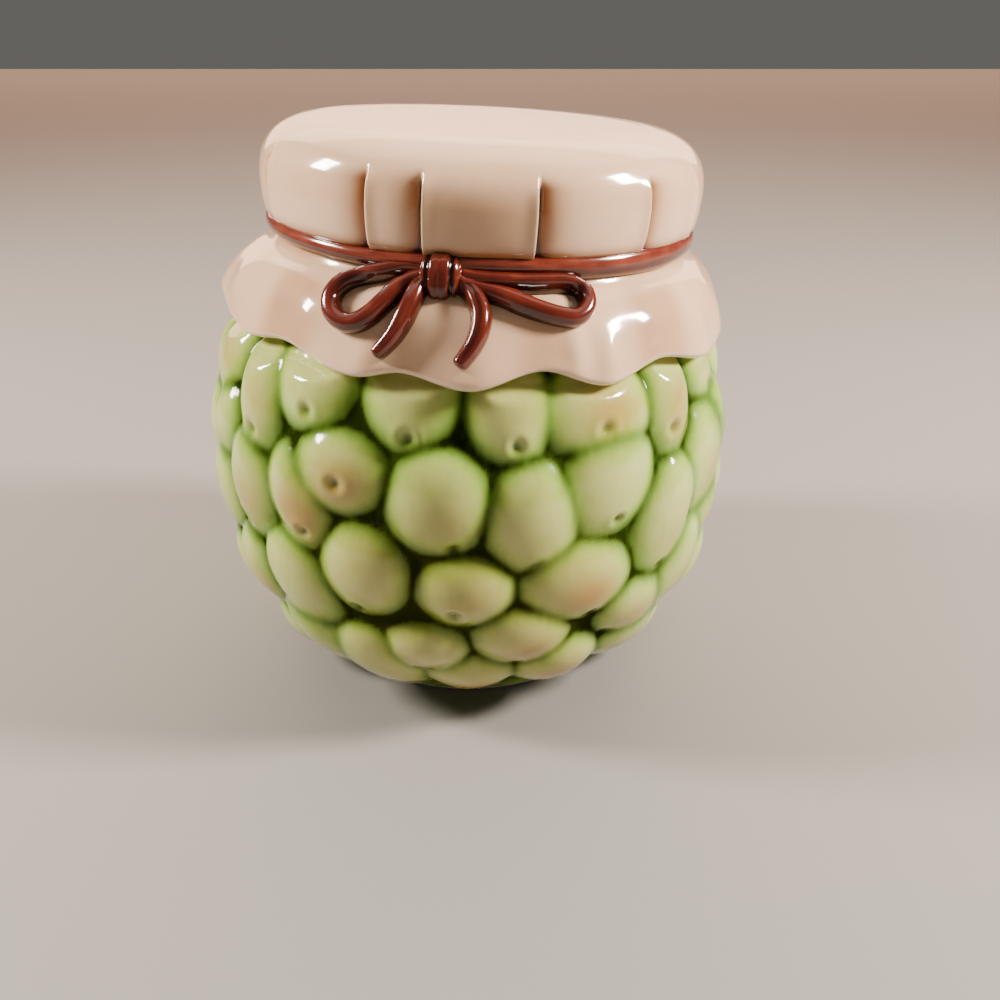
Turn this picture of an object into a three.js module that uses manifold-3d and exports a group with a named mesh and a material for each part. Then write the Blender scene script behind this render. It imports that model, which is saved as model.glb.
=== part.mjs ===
// Ceramic kitchen jar cast as a bunch of green grapes, under a lid cast as a cloth cover that is
// tied on with a cord and a bow. Millimetres, +Z up, centre of the foot at the origin, front to -Y.
// The mouth and the lid share one frame that leans a little to the right, called the cover frame.
import * as THREE from "three";
import { mergeVertices } from "three/addons/utils/BufferGeometryUtils.js";
import Module from "manifold-3d";

const wasm = await Module();
wasm.setup();
const { Manifold, Mesh: SolidMesh } = wasm;

// Driving sizes of the pot.
const FOOT_R = 62; // outer edge of the ring it stands on
const FOOT_WIDTH = 8; // width of that ring
const FOOT_RECESS = 2; // how far the base is hollowed inside the ring
const FOOT_HIGH = 8; // the grapes start above this height
const BODY_R = 106; // widest reach of the grapes
const BODY_Z = 84; // height of that reach
const SHOULDER_R = 84; // reach of the grapes where they end, under the lid
const SHOULDER_Z = 150;
const WALL = 3; // cast wall behind the plain wall that the grapes stand on
const FLOOR = 6; // thickness of the base
const RELIEF = 9.5; // how far the grapes stand off the plain wall
const GRAPE_DEPTH = 14.5; // half depth of a grape, front to back
const GRAPE_SWELL = 1.07; // grapes are cut this much larger than their visible width
const GRAPE_TUCK = 9; // degrees a grape tips so that its lower end stands proud
const MOUTH_R = 64; // bore of the mouth
const NECK_WALL = 6.5;
const NECK_R = MOUTH_R + NECK_WALL;

// Driving sizes of the lid, heights counted in the cover frame.
const LEAN = THREE.MathUtils.degToRad(2.7); // the mouth and the lid tip this much to the right
const LEAN_AT = new THREE.Vector3(2.4, 0, 110); // origin of the cover frame
const RIM_Z = 60; // top of the rim
const CAP_R = 83.1; // widest part of the cap
const CAP_TOP = 104.3;
const CAP_SIDE_Z = 85.3; // height of the widest part
const WAIST_R = 77.2; // where the cord is tied
const WAIST_Z = 66.6;
const WAIST_HALF = 4.8; // half height of the straight band the cord lies on
const SKIRT_TOP = 61.5; // the cloth falls into waves below this height
const HEM_R = 96.5; // edge of the cloth skirt, before its waves
const HEM_Z = 37; // height of the hem, before its waves
const CLOTH = 4.8; // thickness of the skirt
const CAP_WALL = 5.6; // thickness of the cap
const FLANGE_WALL = 5;
const FLANGE_DROP = 12.5; // the ring under the lid reaches this far into the mouth

// Driving sizes of the cord.
const CORD_PROUD = 4.5; // how far the tied cord stands off the waist
const COIL_HALF = 3.3; // half width of the bow's coils
const COIL_HIGH = 5.4; // how far a coil stands off the cloth
const COIL_PRESS = 1.2; // how far it is pressed in before it is trimmed to the cloth

// Fits.
const FIT = 0.3; // gap kept between pieces that touch
const MOUTH_PLAY = 2; // free play of the lid's ring inside the mouth
const COVER_PLAY = 2; // free play between the skirt and the pot under it

// Crest of the grapes as [radius, height]: out from the foot to the widest reach, and in again
// to the shoulder. The plain wall and the hollow follow it inside.
const mix = THREE.MathUtils.lerp;
const BELLY_CURVE = [[0, 0], [0.26, 0.095], [0.57, 0.285], [0.81, 0.5], [0.955, 0.74], [1, 1]];
const SHOULDER_CURVE = [[0.02, 0.21], [0.11, 0.47], [0.32, 0.7], [0.68, 0.88], [1, 1]];
const CREST = [
  ...BELLY_CURVE.map(([out, up]) => [mix(FOOT_R, BODY_R, out), mix(0, BODY_Z, up)]),
  ...SHOULDER_CURVE.map(([back, up]) => [
    mix(BODY_R, SHOULDER_R, back), mix(BODY_Z, SHOULDER_Z, up),
  ]),
];

// Grapes of the front as [turn from the front in degrees, height, width, length, roll in degrees].
// Roll tips the upper end to the right.
const FRONT_GRAPES = [
  // row under the cover
  [-70, 135.5, 31, 36, -6], [-48.8, 128.2, 27, 39, -6], [-33.4, 138.5, 33, 34.5, 6],
  [-10.1, 138, 31, 36, 0], [10.5, 133, 29, 33, 0], [29, 129.5, 41, 32, 8], [49, 125, 26.5, 37, 4],
  [66.5, 135, 27, 34, 4], [70.5, 103, 27, 44, 4],
  // upper middle
  [-63.5, 111, 23.5, 29.5, 0], [-65, 83.5, 26, 38.5, -6], [-51, 92.5, 28.5, 41.5, -5],
  [-35, 96, 27, 38, -14], [-25.5, 109, 36.5, 29.5, -6], [-4.5, 101.5, 33.5, 37, 0],
  [14, 94, 31.5, 40, -3], [30.5, 104, 36, 40.5, 14], [46.5, 80, 31, 47, 14],
  [63.5, 95, 37.5, 44.5, 4],
  // lower middle
  [66.5, 74, 25, 34, 12], [-53.5, 55, 25, 36.5, -8], [-37.5, 57.5, 30, 43, -20],
  [-20.5, 72.5, 32, 36, -2], [0.5, 68.5, 32.5, 29, 0], [24.5, 67.5, 40.5, 33.5, 12],
  [41, 48.5, 34, 30, 30], [54.5, 52.5, 30, 45, 14],
  // bottom rows
  [-37.5, 33, 32, 41, -18], [-21.5, 26, 33, 45, -16], [-9, 40.5, 30, 27, -6],
  [13, 45.5, 34, 31, 18], [24, 25, 33, 34, 14], [45.5, 29.5, 33, 34, 16], [1, 24.5, 33, 28, 0],
];

// Rows round the back as [first turn, step, count, height, width, length]; they close on the
// front grapes at both sides.
const BACK_ROWS = [
  [84, 17.3, 12, 131, 32, 36],
  [76.5, 15.75, 14, 103, 31, 38],
  [80.5, 15.8, 14, 72, 32, 38],
  [69, 18.4, 13, 42, 32, 36],
  [62, 21.6, 12, 20, 33, 30],
];

// Folds gathered into the side of the cap, in degrees.
const beyond = (turn) => (turn > 0 && turn < 180 ? 1 : -1); // the way round, away from the front
const FOLDS = [-62, -25.7, -12.5, 13, 42.3, 66, 94, 126, 158, 190, 226, 262];

// The hem's waves as [turn, height above the plain hem, reach beyond it], at each drooping lobe
// and at each rise between two.
const HEM = [
  [-88, 4.4, 4.2], [-71, 0, 0.6], [-57, -1.3, 0.6], [-43.5, 1.2, -1.9], [-24, -3, 1.3],
  [-14, -0.3, -0.5], [-0.8, -3.4, 1.8], [13.8, 2, -1.1], [27, -2.9, 1.2], [43, 1.1, -2.1],
  [59, -2.6, 0.6], [76, -0.8, -0.2], [91, 1.8, -0.8], [104, -1.6, 0.8], [116, 2.4, -1.8],
  [129, -2, 1], [143, 2.2, -1.6], [155, -2.1, 1.1], [169, 2.3, -1.7], [182, -1.9, 0.9],
  [196, 2.2, -1.5], [209, -2.1, 1.3], [223, 2.3, -1.5], [236, -1.8, 1], [249, 1.9, -1.2],
  [260, -1.2, 1.4],
];

// The tied cord as [turn, middle above the waist, half width].
const CORD = [
  [-74, 1.3, 3.1], [-45, 0.5, 2.9], [-28, -0.1, 2.8], [-10, 0.5, 2.8], [13, 0.7, 2.8],
  [28, -0.2, 3.7], [50, 0, 4.2], [68, 0.5, 3.7], [100, 0.8, 3.3], [180, 0.8, 3], [250, 1.1, 3.1],
];

// Paths of the bow on the cover as [turn in degrees, drop below the waist].
const LOOP_LEFT = [
  [-12.5, 2.2], [-16.6, 2.5], [-21.8, 4.6], [-27.8, 7.7], [-31.2, 13.4], [-29.2, 18], [-25.2, 19.3],
  [-21.4, 16.6], [-18.1, 11.1], [-15, 6.5], [-12.5, 4.9],
];
const LOOP_RIGHT = [
  [-3.2, 3.8], [0, 4.4], [7, 4.9], [14, 5.1], [20.5, 5.3], [24.4, 7.8], [24.3, 11.1], [21, 14.3],
  [16.5, 13.6], [11.8, 11.7], [7.6, 9.8], [3.6, 8.3], [0, 7.1], [-3.5, 6],
];
const TAIL_LEFT = [
  [-11.6, 5.6], [-13.2, 12.4], [-14.5, 17.6], [-16.3, 22.5], [-18.8, 27.1],
];
const TAIL_RIGHT = [
  [-4.4, 4.6], [-0.9, 8.2], [1.1, 12.6], [1.1, 17.5], [-0.4, 22.8], [-2.6, 27.9],
];
const KNOT_TURN = -7.9;
const KNOT_Z = WAIST_Z - 3.1;

const coverFrame = new THREE.Matrix4().makeRotationY(LEAN).setPosition(LEAN_AT);

// Value of a [value, height] list at a height, straight between its points.
function along(list, height) {
  const last = list.length - 1;
  if (height <= list[0][1]) return list[0][0];
  for (let i = 0; i < last; i++) {
    const [a, low] = list[i];
    const [b, high] = list[i + 1];
    if (height <= high) return a + ((b - a) * (height - low)) / (high - low);
  }
  return list[last][0];
}

const smooth = (from, to, value) => THREE.MathUtils.smoothstep(value, from, to);

// Point at a turn from the front, a radius and a height.
function polar(turn, radius, height) {
  const t = THREE.MathUtils.degToRad(turn);
  return new THREE.Vector3(radius * Math.sin(t), -radius * Math.cos(t), height);
}

// A geometry with only its positions, doubled points joined and empty triangles dropped.
function joinedUp(geometry, within) {
  const plain = new THREE.BufferGeometry();
  plain.setAttribute("position", geometry.getAttribute("position"));
  if (geometry.index) plain.setIndex(geometry.index);
  const joined = mergeVertices(plain, within);
  const all = joined.index.array;
  const kept = [];
  for (let i = 0; i < all.length; i += 3) {
    const [a, b, c] = [all[i], all[i + 1], all[i + 2]];
    if (a !== b && b !== c && c !== a) kept.push(a, b, c);
  }
  return joined.setIndex(kept);
}

function solid(geometry) {
  const joined = joinedUp(geometry, 1e-4);
  return new Manifold(new SolidMesh({
    numProp: 3,
    vertProperties: new Float32Array(joined.getAttribute("position").array),
    triVerts: new Uint32Array(joined.index.array),
  }));
}

// Solid turned from a profile of [radius, height] that starts and ends on the axis.
function turned(profile, segments, frame = null) {
  const geometry = new THREE.LatheGeometry(
    profile.map(([r, z]) => new THREE.Vector2(r, z)), segments,
  ).rotateX(Math.PI / 2);
  if (frame) geometry.applyMatrix4(frame);
  return solid(geometry);
}

// Solid skinned over a stack of rings of points, from the top down; a ring shrunk to one point
// closes an end. Each four-sided cell is split along its shorter diagonal, or along a valley.
function skinned(rings, inValley = () => false) {
  const n = rings[0].length;
  const points = rings.flatMap((ring) => ring.flatMap((p) => [p.x, p.y, p.z]));
  const index = [];
  const reachOf = (i, j, k, l) => rings[i][j].distanceTo(rings[k][l])
    * (inValley(i, j) && inValley(k, l) ? 0.5 : 1);
  for (let i = 0; i + 1 < rings.length; i++) {
    for (let j = 0; j < n; j++) {
      const next = (j + 1) % n;
      const [a, b] = [i * n + j, i * n + next];
      if (reachOf(i, next, i + 1, j) < reachOf(i, j, i + 1, next)) {
        index.push(a, a + n, b, b, a + n, b + n);
      } else index.push(a, b + n, b, a, a + n, b + n);
    }
  }
  const geometry = new THREE.BufferGeometry();
  geometry.setAttribute("position", new THREE.Float32BufferAttribute(points, 3));
  geometry.setIndex(index);
  return solid(geometry);
}

const biggest = (body) => body.decompose().sort((a, b) => b.volume() - a.volume())[0];

function mesh(name, body, colour, roughness) {
  const made = body.getMesh();
  const geometry = new THREE.BufferGeometry();
  geometry.setAttribute("position", new THREE.Float32BufferAttribute(made.vertProperties, 3));
  geometry.setIndex(Array.from(made.triVerts));
  const whole = joinedUp(geometry, 2e-3);
  whole.computeVertexNormals();
  const material = new THREE.MeshStandardMaterial({ color: colour, roughness, metalness: 0 });
  const piece = new THREE.Mesh(whole, material);
  piece.name = name;
  return piece;
}

// One grape: an ellipsoid with its long axis up the wall, rolled to its lean and tipped so that
// its lower end stands over the row beneath. Returned as the matrix into its unit ball.
function grape([turn, height, width, length, roll]) {
  const slope = Math.atan2(along(CREST, height + 6) - along(CREST, height - 6), 12);
  const out = along(CREST, height) - GRAPE_DEPTH * Math.cos(slope);
  const centre = polar(turn, out, height + GRAPE_DEPTH * Math.sin(slope) * 0.5);
  return new THREE.Matrix4().makeTranslation(centre)
    .multiply(new THREE.Matrix4().makeRotationZ(THREE.MathUtils.degToRad(turn)))
    .multiply(new THREE.Matrix4().makeRotationX(slope + THREE.MathUtils.degToRad(GRAPE_TUCK)))
    .multiply(new THREE.Matrix4().makeRotationY(THREE.MathUtils.degToRad(roll)))
    .scale(new THREE.Vector3(
      (width / 2) * GRAPE_SWELL, GRAPE_DEPTH, (length / 2) * GRAPE_SWELL,
    ))
    .invert();
}

// How far out from a point of the wall the line straight out of it leaves a grape.
function reach(toBall, from, out) {
  const o = from.clone().applyMatrix4(toBall);
  const d = from.clone().add(out).applyMatrix4(toBall).sub(o);
  const root = o.dot(d) ** 2 - d.dot(d) * (o.dot(o) - 1);
  return root > 0 ? Math.max((Math.sqrt(root) - o.dot(d)) / d.dot(d), 0) : 0;
}

// The same grape sizes vary a little from one to the next round the back.
function backRow([first, step, count, height, width, length], row) {
  return Array.from({ length: count }, (_, i) => {
    const wobble = (k) => Math.sin(i * 2.4 + row * 1.7 + k * 2.1);
    return [
      first + i * step + 1.6 * wobble(1), height + 3 * wobble(2),
      width + 1.5 * wobble(3), length + 2.5 * wobble(4), 9 * wobble(5),
    ];
  });
}

// Plain wall of the pot at a share of the way up it, with the direction straight out of it.
const WALL_LINE = new THREE.CatmullRomCurve3([
  [FOOT_R + 1.5, 3],
  ...CREST.slice(1).map(([r, z]) => [r - RELIEF, z]),
].map(([r, z]) => new THREE.Vector3(r, z, 0)));
function wallAt(share, turn) {
  const at = WALL_LINE.getPointAt(share);
  const ahead = WALL_LINE.getTangentAt(share);
  return { from: polar(turn, at.x, at.y), out: polar(turn, ahead.y, -ahead.x) };
}

// Under the cover the grapes die into the shoulder, clear of the skirt: the largest radius they
// may have at each height of the cover frame.
const UNDER_COVER = [
  [HEM_R + 5.5, HEM_Z - 13.5], [HEM_R - 0.5, HEM_Z - 9.5], [HEM_R - 5.5, HEM_Z - 5.5],
  [mix(HEM_R, NECK_R, 0.4), HEM_Z + 1], [mix(HEM_R, NECK_R, 0.67), HEM_Z + 9],
  [NECK_R + 1, RIM_Z - 6],
];
function stopUnderCover(from, out, crest) {
  for (let left = crest; left > 0; left -= 0.25) {
    const point = from.clone().addScaledVector(out, left);
    const seen = point.clone().sub(LEAN_AT).applyAxisAngle(new THREE.Vector3(0, 1, 0), -LEAN);
    if (seen.z < UNDER_COVER[0][1] || Math.hypot(seen.x, seen.y) < along(UNDER_COVER, seen.z)) {
      return point;
    }
  }
  return from.clone();
}

// The pot's outside: a turned wall with the outermost grape standing off it everywhere. Points
// close to the valley between two grapes are moved into it, so the valleys stay sharp.
function makeRelief() {
  const grapes = [...FRONT_GRAPES, ...BACK_ROWS.flatMap(backRow)].map(grape);
  const rows = 28;
  const columns = 106;
  const length = WALL_LINE.getLength();
  const mmPerTurn = (2 * Math.PI * BODY_R) / 360;
  const cell = Math.min(length / rows, (360 / columns) * mmPerTurn);

  const topTwo = (share, turn) => {
    const { from, out } = wallAt(share, turn);
    return grapes.map((toBall) => ({ toBall, t: reach(toBall, from, out) }))
      .sort((p, q) => q.t - p.t).slice(0, 2);
  };
  const settle = (share, turn) => {
    const [first, second] = topTwo(share, turn);
    if (second.t === 0) return { share, turn, inValley: false };
    const lead = (ds, dt) => {
      const { from, out } = wallAt(share + ds / length, turn + dt / mmPerTurn);
      return reach(first.toBall, from, out) - reach(second.toBall, from, out);
    };
    const here = lead(0, 0);
    const up = (lead(0.5, 0) - here) * 2;
    const round = (lead(0, 0.5) - here) * 2;
    const step = -here / (up * up + round * round);
    const far = Math.hypot(up, round) * Math.abs(step);
    if (!(far < 0.52 * cell)) return { share, turn, inValley: false };
    return { share: share + (up * step) / length, turn: turn + (round * step) / mmPerTurn,
      inValley: true };
  };

  const grid = Array.from({ length: rows + 1 }, (_, i) => Array.from({ length: columns }, (_, j) => {
    const shift = (i % 2) * 0.5;
    const spot = { share: i / rows, turn: ((j + shift) * 360) / columns };
    return i === 0 || i === rows ? spot : settle(spot.share, spot.turn);
  }));
  const rings = grid.map((ring) => ring.map(({ share, turn }) => {
    const level = THREE.MathUtils.clamp(share, 0, 1);
    const { from, out } = wallAt(level, turn);
    const crest = topTwo(level, turn)[0].t * smooth(1, FOOT_HIGH, from.z);
    return stopUnderCover(from, out, crest);
  }));
  const base = [polar(0, 0, 0), polar(0, FOOT_R, 0)];
  const even = (j) => (j * 360) / columns;
  const stack = [
    rings[0].map(() => base[0]), rings[0].map((_, j) => polar(even(j), FOOT_R, 0)), ...rings,
    rings[rows].map(() => polar(0, 0, CREST[CREST.length - 1][1])),
  ];
  return skinned(stack.reverse(), (i, j) => Boolean(grid[rows + 1 - i]?.[j].inValley));
}

function makePot() {
  const neck = turned([
    [0, RIM_Z - 45], [NECK_R + 3.5, RIM_Z - 36], [NECK_R + 6.5, RIM_Z - 28],
    [NECK_R + 5.9, RIM_Z - 22], [NECK_R + 0.8, RIM_Z - 15], [NECK_R, RIM_Z - 1.5],
    [NECK_R - 1.5, RIM_Z], [0, RIM_Z],
  ], 48, coverFrame);
  const floor = FOOT_RECESS + FLOOR;
  const hollow = turned([
    [0, floor], [FOOT_R - 16, floor], [FOOT_R - 4, floor + 4],
    ...CREST.slice(2, -1).map(([r, z]) => [r - RELIEF - WALL, z]),
    [MOUTH_R + 1, SHOULDER_Z - 3], [0, SHOULDER_Z - 3],
  ], 44);
  const mouth = turned([
    [0, RIM_Z - 38], [MOUTH_R, RIM_Z - 34], [MOUTH_R, RIM_Z - 1], [MOUTH_R + 1, RIM_Z + 0.01],
    [MOUTH_R + 1, RIM_Z + 5], [0, RIM_Z + 5],
  ], 48, coverFrame);
  const recess = turned([
    [0, -5], [FOOT_R - FOOT_WIDTH, -5], [FOOT_R - FOOT_WIDTH, 0],
    [FOOT_R - FOOT_WIDTH - FOOT_RECESS, FOOT_RECESS], [0, FOOT_RECESS],
  ], 44);
  return makeRelief().add(neck).subtract(hollow).subtract(mouth).subtract(recess);
}

// Values of a round list of [turn, ...values] at a turn, eased from each entry to the next.
function roundAt(list, turn) {
  const t = THREE.MathUtils.euclideanModulo(turn - list[0][0], 360) + list[0][0];
  const closed = [...list, [list[0][0] + 360, ...list[0].slice(1)]];
  const i = closed.findIndex(([next], k) => k > 0 && t <= next);
  const [from, ...start] = closed[i - 1];
  const [to, ...end] = closed[i];
  const ease = smooth(from, to, t);
  return start.map((value, k) => value + (end[k] - value) * ease);
}

// Depth of the gathered folds at a turn: each pleat laps over the next one away from the front,
// so its edge is a low ridge and the cloth drops into a crease beyond it.
function foldDepth(turn) {
  return FOLDS.reduce((sum, fold) => {
    const d = (THREE.MathUtils.euclideanModulo(turn - fold + 180, 360) - 180) * beyond(fold);
    if (d < 0) return sum - 0.9 * Math.exp(-((d / 2) ** 2));
    return sum + 2.8 * Math.exp(-d / 2.4) * smooth(0, 0.5, d);
  }, 0);
}

// Columns of the cap: even steps, with three on each fold.
function capColumns() {
  const even = Array.from({ length: 40 }, (_, i) => -90 + i * 9);
  const away = (turn) => FOLDS.every((fold) => {
    const d = THREE.MathUtils.euclideanModulo(turn - fold + 180, 360) - 180;
    return Math.abs(d) > 5.5;
  });
  const crease = FOLDS.flatMap((fold) => [-0.2, 0.6, 2.6].map((d) => fold + d * beyond(fold)));
  return [...even.filter(away), ...crease].sort((a, b) => a - b);
}

// Columns of the skirt: one on each lobe and rise of the hem, and one between them.
function skirtColumns() {
  return HEM.flatMap(([turn], i) => {
    const next = i + 1 < HEM.length ? HEM[i + 1][0] : HEM[0][0] + 360;
    return [turn, (turn + next) / 2];
  });
}

// Outside of the cap from the middle of the top down to the waist, and of the skirt from there
// down to the hem, as [radius, height].
const GATHERED_Z = WAIST_Z + WAIST_HALF;
const CAP_OUT = [
  [0, CAP_TOP], [CAP_R - 23, CAP_TOP], [CAP_R - 13, CAP_TOP - 1.6], [CAP_R - 5.7, CAP_TOP - 5.6],
  [CAP_R - 1.3, CAP_TOP - 12], [CAP_R, CAP_SIDE_Z],
  [mix(CAP_R, WAIST_R, 0.12), mix(CAP_SIDE_Z, GATHERED_Z, 0.52)],
  [mix(CAP_R, WAIST_R, 0.42), mix(CAP_SIDE_Z, GATHERED_Z, 0.84)], [WAIST_R, GATHERED_Z],
];
const SKIRT_CURVE = [[0.2, 0.075], [0.43, 0.2], [0.67, 0.405], [0.83, 0.65], [0.94, 0.87], [1, 1]];
const FLARE = SKIRT_CURVE.map(([out, down]) => [
  mix(WAIST_R, HEM_R, out), mix(WAIST_Z - WAIST_HALF, HEM_Z, down),
]);
const SKIRT_OUT = [[WAIST_R, WAIST_Z - 1], [WAIST_R, WAIST_Z - WAIST_HALF], ...FLARE];
const SKIRT_IN = [
  [HEM_R - CLOTH, HEM_Z - 1.6],
  ...[4, 3, 2].map((k) => [FLARE[k][0] - CLOTH * 1.1, FLARE[k][1]]),
  [NECK_R + COVER_PLAY, RIM_Z - 1],
];

// Share of the hem's waves felt at a height: all of it at the hem, none at the top of the skirt.
const frillAt = (height) => 1 - smooth(HEM_Z, SKIRT_TOP, height);

// How much longer than plain the skirt hangs at a turn, as a factor, and how far it swings out.
function hang(turn) {
  const [low, out] = roundAt(HEM, turn);
  return { drop: 1 - low / (SKIRT_TOP - HEM_Z), swing: out };
}

// A point of the cover; grow pushes it straight out, for the room a neighbour must leave.
function coverPoint(turn, [radius, height], grow = 0) {
  if (radius === 0) return new THREE.Vector3(0, 0, height);
  const fold = smooth(GATHERED_Z, GATHERED_Z + 2.5, height)
    * (1 - smooth(CAP_TOP - 13, CAP_TOP - 7, height));
  const { drop, swing } = hang(turn);
  const below = Math.max(SKIRT_TOP - height, 0);
  return polar(
    turn,
    radius + grow - foldDepth(turn) * fold + swing * frillAt(height),
    height + below - below * drop,
  );
}

// Rings of cover points, from the top down, skinned between a middle point at each end.
function coverSkin(columns, stations, grow = 0) {
  return skinned(stations.map((s) => columns.map((turn) => coverPoint(turn, s, grow))));
}

function makeCover() {
  const cap = coverSkin(capColumns(), [...CAP_OUT, SKIRT_OUT[0], [0, SKIRT_OUT[0][1]]]);
  const seat = RIM_Z + FIT;
  const lip = [[HEM_R - 0.8, HEM_Z - 1.8], [HEM_R - CLOTH / 2, HEM_Z - 2.6]];
  const skirt = coverSkin(skirtColumns(), [
    [0, WAIST_Z + 1], [WAIST_R - 1, WAIST_Z + 1], ...SKIRT_OUT, ...lip, ...SKIRT_IN,
    [SKIRT_IN[SKIRT_IN.length - 1][0], seat], [0, seat],
  ]);
  const flangeOut = MOUTH_R - MOUTH_PLAY;
  const flangeIn = flangeOut - FLANGE_WALL;
  const low = seat - FLANGE_DROP;
  const flange = turned([
    [0, low], [flangeOut - 1, low], [flangeOut, low + 1.5], [flangeOut, seat + 2], [0, seat + 2],
  ], 48);
  const hollow = turned([
    [0, low - 5], [flangeIn, low - 5], [flangeIn, seat + 2.7], [WAIST_R - CAP_WALL - 1, WAIST_Z],
    [mix(CAP_R, WAIST_R, 0.42) - CAP_WALL, GATHERED_Z + 3], [CAP_R - CAP_WALL, CAP_SIDE_Z - 1],
    [CAP_R - CAP_WALL - 2.8, CAP_TOP - CAP_WALL - 6.2], [CAP_R - CAP_WALL - 12, CAP_TOP - CAP_WALL],
    [0, CAP_TOP - CAP_WALL],
  ], 48);
  return cap.add(skirt).add(flange).subtract(hollow);
}

// The side of the cover grown by the fit, that whatever is laid on it is cut back to.
function makeCoverRoom() {
  const side = coverSkin(skirtColumns(), [
    [0, WAIST_Z + WAIST_HALF], [WAIST_R, WAIST_Z + WAIST_HALF], ...SKIRT_OUT.slice(1),
    [HEM_R, HEM_Z - 5], [0, HEM_Z - 5],
  ], FIT);
  const cap = [...CAP_OUT].reverse().map(([r, z]) => [Math.max(r + FIT, 0), z]);
  return side.add(turned([[0, cap[0][1]], ...cap.slice(0, 4), [0, cap[3][1]]], 48));
}

// The cord tied round the waist, flat against it, wider where it was pressed down.
function makeCord(grow = 0) {
  const steps = 54;
  const bulge = [[0, -1], [0.7, -0.74], [1, 0], [0.7, 0.74], [0, 1]];
  return skinned(Array.from({ length: steps + 1 }, (_, i) => {
    const turn = (i * 360) / steps;
    const [above, half] = roundAt(CORD, turn);
    return bulge.map(([out, up]) => polar(
      turn, WAIST_R + FIT - grow + out * (CORD_PROUD + 2 * grow),
      WAIST_Z + above + up * (half + grow),
    ));
  }));
}

// Radius of the cover at a turn and height, with the waves of its skirt.
const RISING = [...SKIRT_OUT].reverse();
function clothRadius(turn, height) {
  const { drop, swing } = hang(turn);
  const plain = height < SKIRT_TOP ? SKIRT_TOP - (SKIRT_TOP - height) / drop : height;
  return along(RISING, plain) + swing * frillAt(plain);
}

// A point on the cloth, and the direction straight out of the cloth there.
function onCloth(turn, height) {
  const at = polar(turn, clothRadius(turn, height), height);
  const up = polar(turn, clothRadius(turn, height + 1), height + 1).sub(at);
  const round = polar(turn + 0.5, clothRadius(turn + 0.5, height), height).sub(at);
  return { at, out: round.cross(up).normalize() };
}

// A clay coil laid along a path on the cover, pressed a little into it, both ends rounded off.
// The widths are given along it; grow makes it larger, for the room a neighbour must leave.
const COIL_SECTION = [-24, 20, 66, 114, 160, 204].map((a) => {
  const t = THREE.MathUtils.degToRad(a);
  const low = Math.sin(THREE.MathUtils.degToRad(-24));
  return [Math.cos(t), (Math.sin(t) - low) / (1 - low)];
});
function coil(path, halves, grow = 0) {
  const curve = new THREE.CatmullRomCurve3(
    path.map(([turn, drop]) => onCloth(turn, WAIST_Z - drop).at), false, "centripetal",
  );
  const steps = (path.length - 1) * 2;
  const inner = Array.from({ length: steps - 1 }, (_, i) => [(i + 1) / steps, 1]);
  const stops = [[0.002, 0.55], [0.02, 0.88], ...inner, [0.98, 0.88], [0.998, 0.55]];
  const widths = halves.map((half, k) => [half, k / (halves.length - 1)]);
  const rings = stops.map(([t, size]) => {
    const middle = curve.getPointAt(t);
    const turn = THREE.MathUtils.radToDeg(Math.atan2(middle.x, -middle.y));
    const { out } = onCloth(turn, middle.z);
    const side = curve.getTangentAt(t).cross(out).normalize();
    const half = along(widths, t) * size + grow;
    return COIL_SECTION.map(([across, rise]) => {
      const foot = middle.clone().addScaledVector(side, across * half);
      const there = THREE.MathUtils.radToDeg(Math.atan2(foot.x, -foot.y));
      const laid = onCloth(there, foot.z);
      const lift = (rise * (COIL_HIGH + COIL_PRESS) - COIL_PRESS) * size;
      return laid.at.addScaledVector(laid.out, lift + (2 * rise - 1) * grow);
    });
  });
  const tip = (ring, back = new THREE.Vector3()) => {
    const centre = ring.reduce((sum, p) => sum.add(p), new THREE.Vector3())
      .divideScalar(ring.length).addScaledVector(back, 0.6);
    return ring.map(() => centre);
  };
  // Two halves joined, because the strands of a loop run into each other at the knot.
  const half = Math.round(rings.length / 2);
  const [first, second] = [rings.slice(0, half + 1), rings.slice(half)];
  return skinned([tip(first[0], curve.getTangentAt(0).negate()), ...first, tip(first[half])])
    .add(skinned([tip(second[0]), ...second,
      tip(second[second.length - 1], curve.getTangentAt(1))]));
}

// The knot: a broad wrap of the cord between two narrow ones.
function makeKnot(grow = 0) {
  const lobe = (turn, wide, high, deep, out) => {
    const at = polar(turn, out, KNOT_Z);
    return solid(new THREE.SphereGeometry(1, 11, 8)
      .rotateX(Math.PI / 2).scale(wide + grow, deep + grow, high + grow)
      .applyMatrix4(new THREE.Matrix4().makeRotationZ(THREE.MathUtils.degToRad(turn)))
      .translate(at.x, at.y, at.z));
  };
  return Manifold.union([
    lobe(KNOT_TURN - 2.8, 2.8, 6.6, 6.4, WAIST_R + 3.4), lobe(KNOT_TURN, 4.3, 7.1, 7, WAIST_R + 3.8),
    lobe(KNOT_TURN + 2.8, 2.8, 6.3, 6.4, WAIST_R + 3.4),
  ]);
}

const cord = makeCord();
const besideCord = makeCoverRoom().add(makeCord(FIT));
const besideKnot = besideCord.add(makeKnot(FIT));
const loopHalves = [COIL_HALF, COIL_HALF, COIL_HALF];
const tailHalves = [COIL_HALF * 0.95, COIL_HALF * 1.08, COIL_HALF * 0.8];
const besideLeftLoop = besideKnot.add(coil(LOOP_LEFT, loopHalves, FIT));
const besideRightTail = besideKnot.add(coil(TAIL_RIGHT, tailHalves, FIT));

const cream = "#ecd3bc";
const brown = "#5a2118";
const trim = (name, body) => mesh(name, biggest(body), brown, 0.12);

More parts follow.
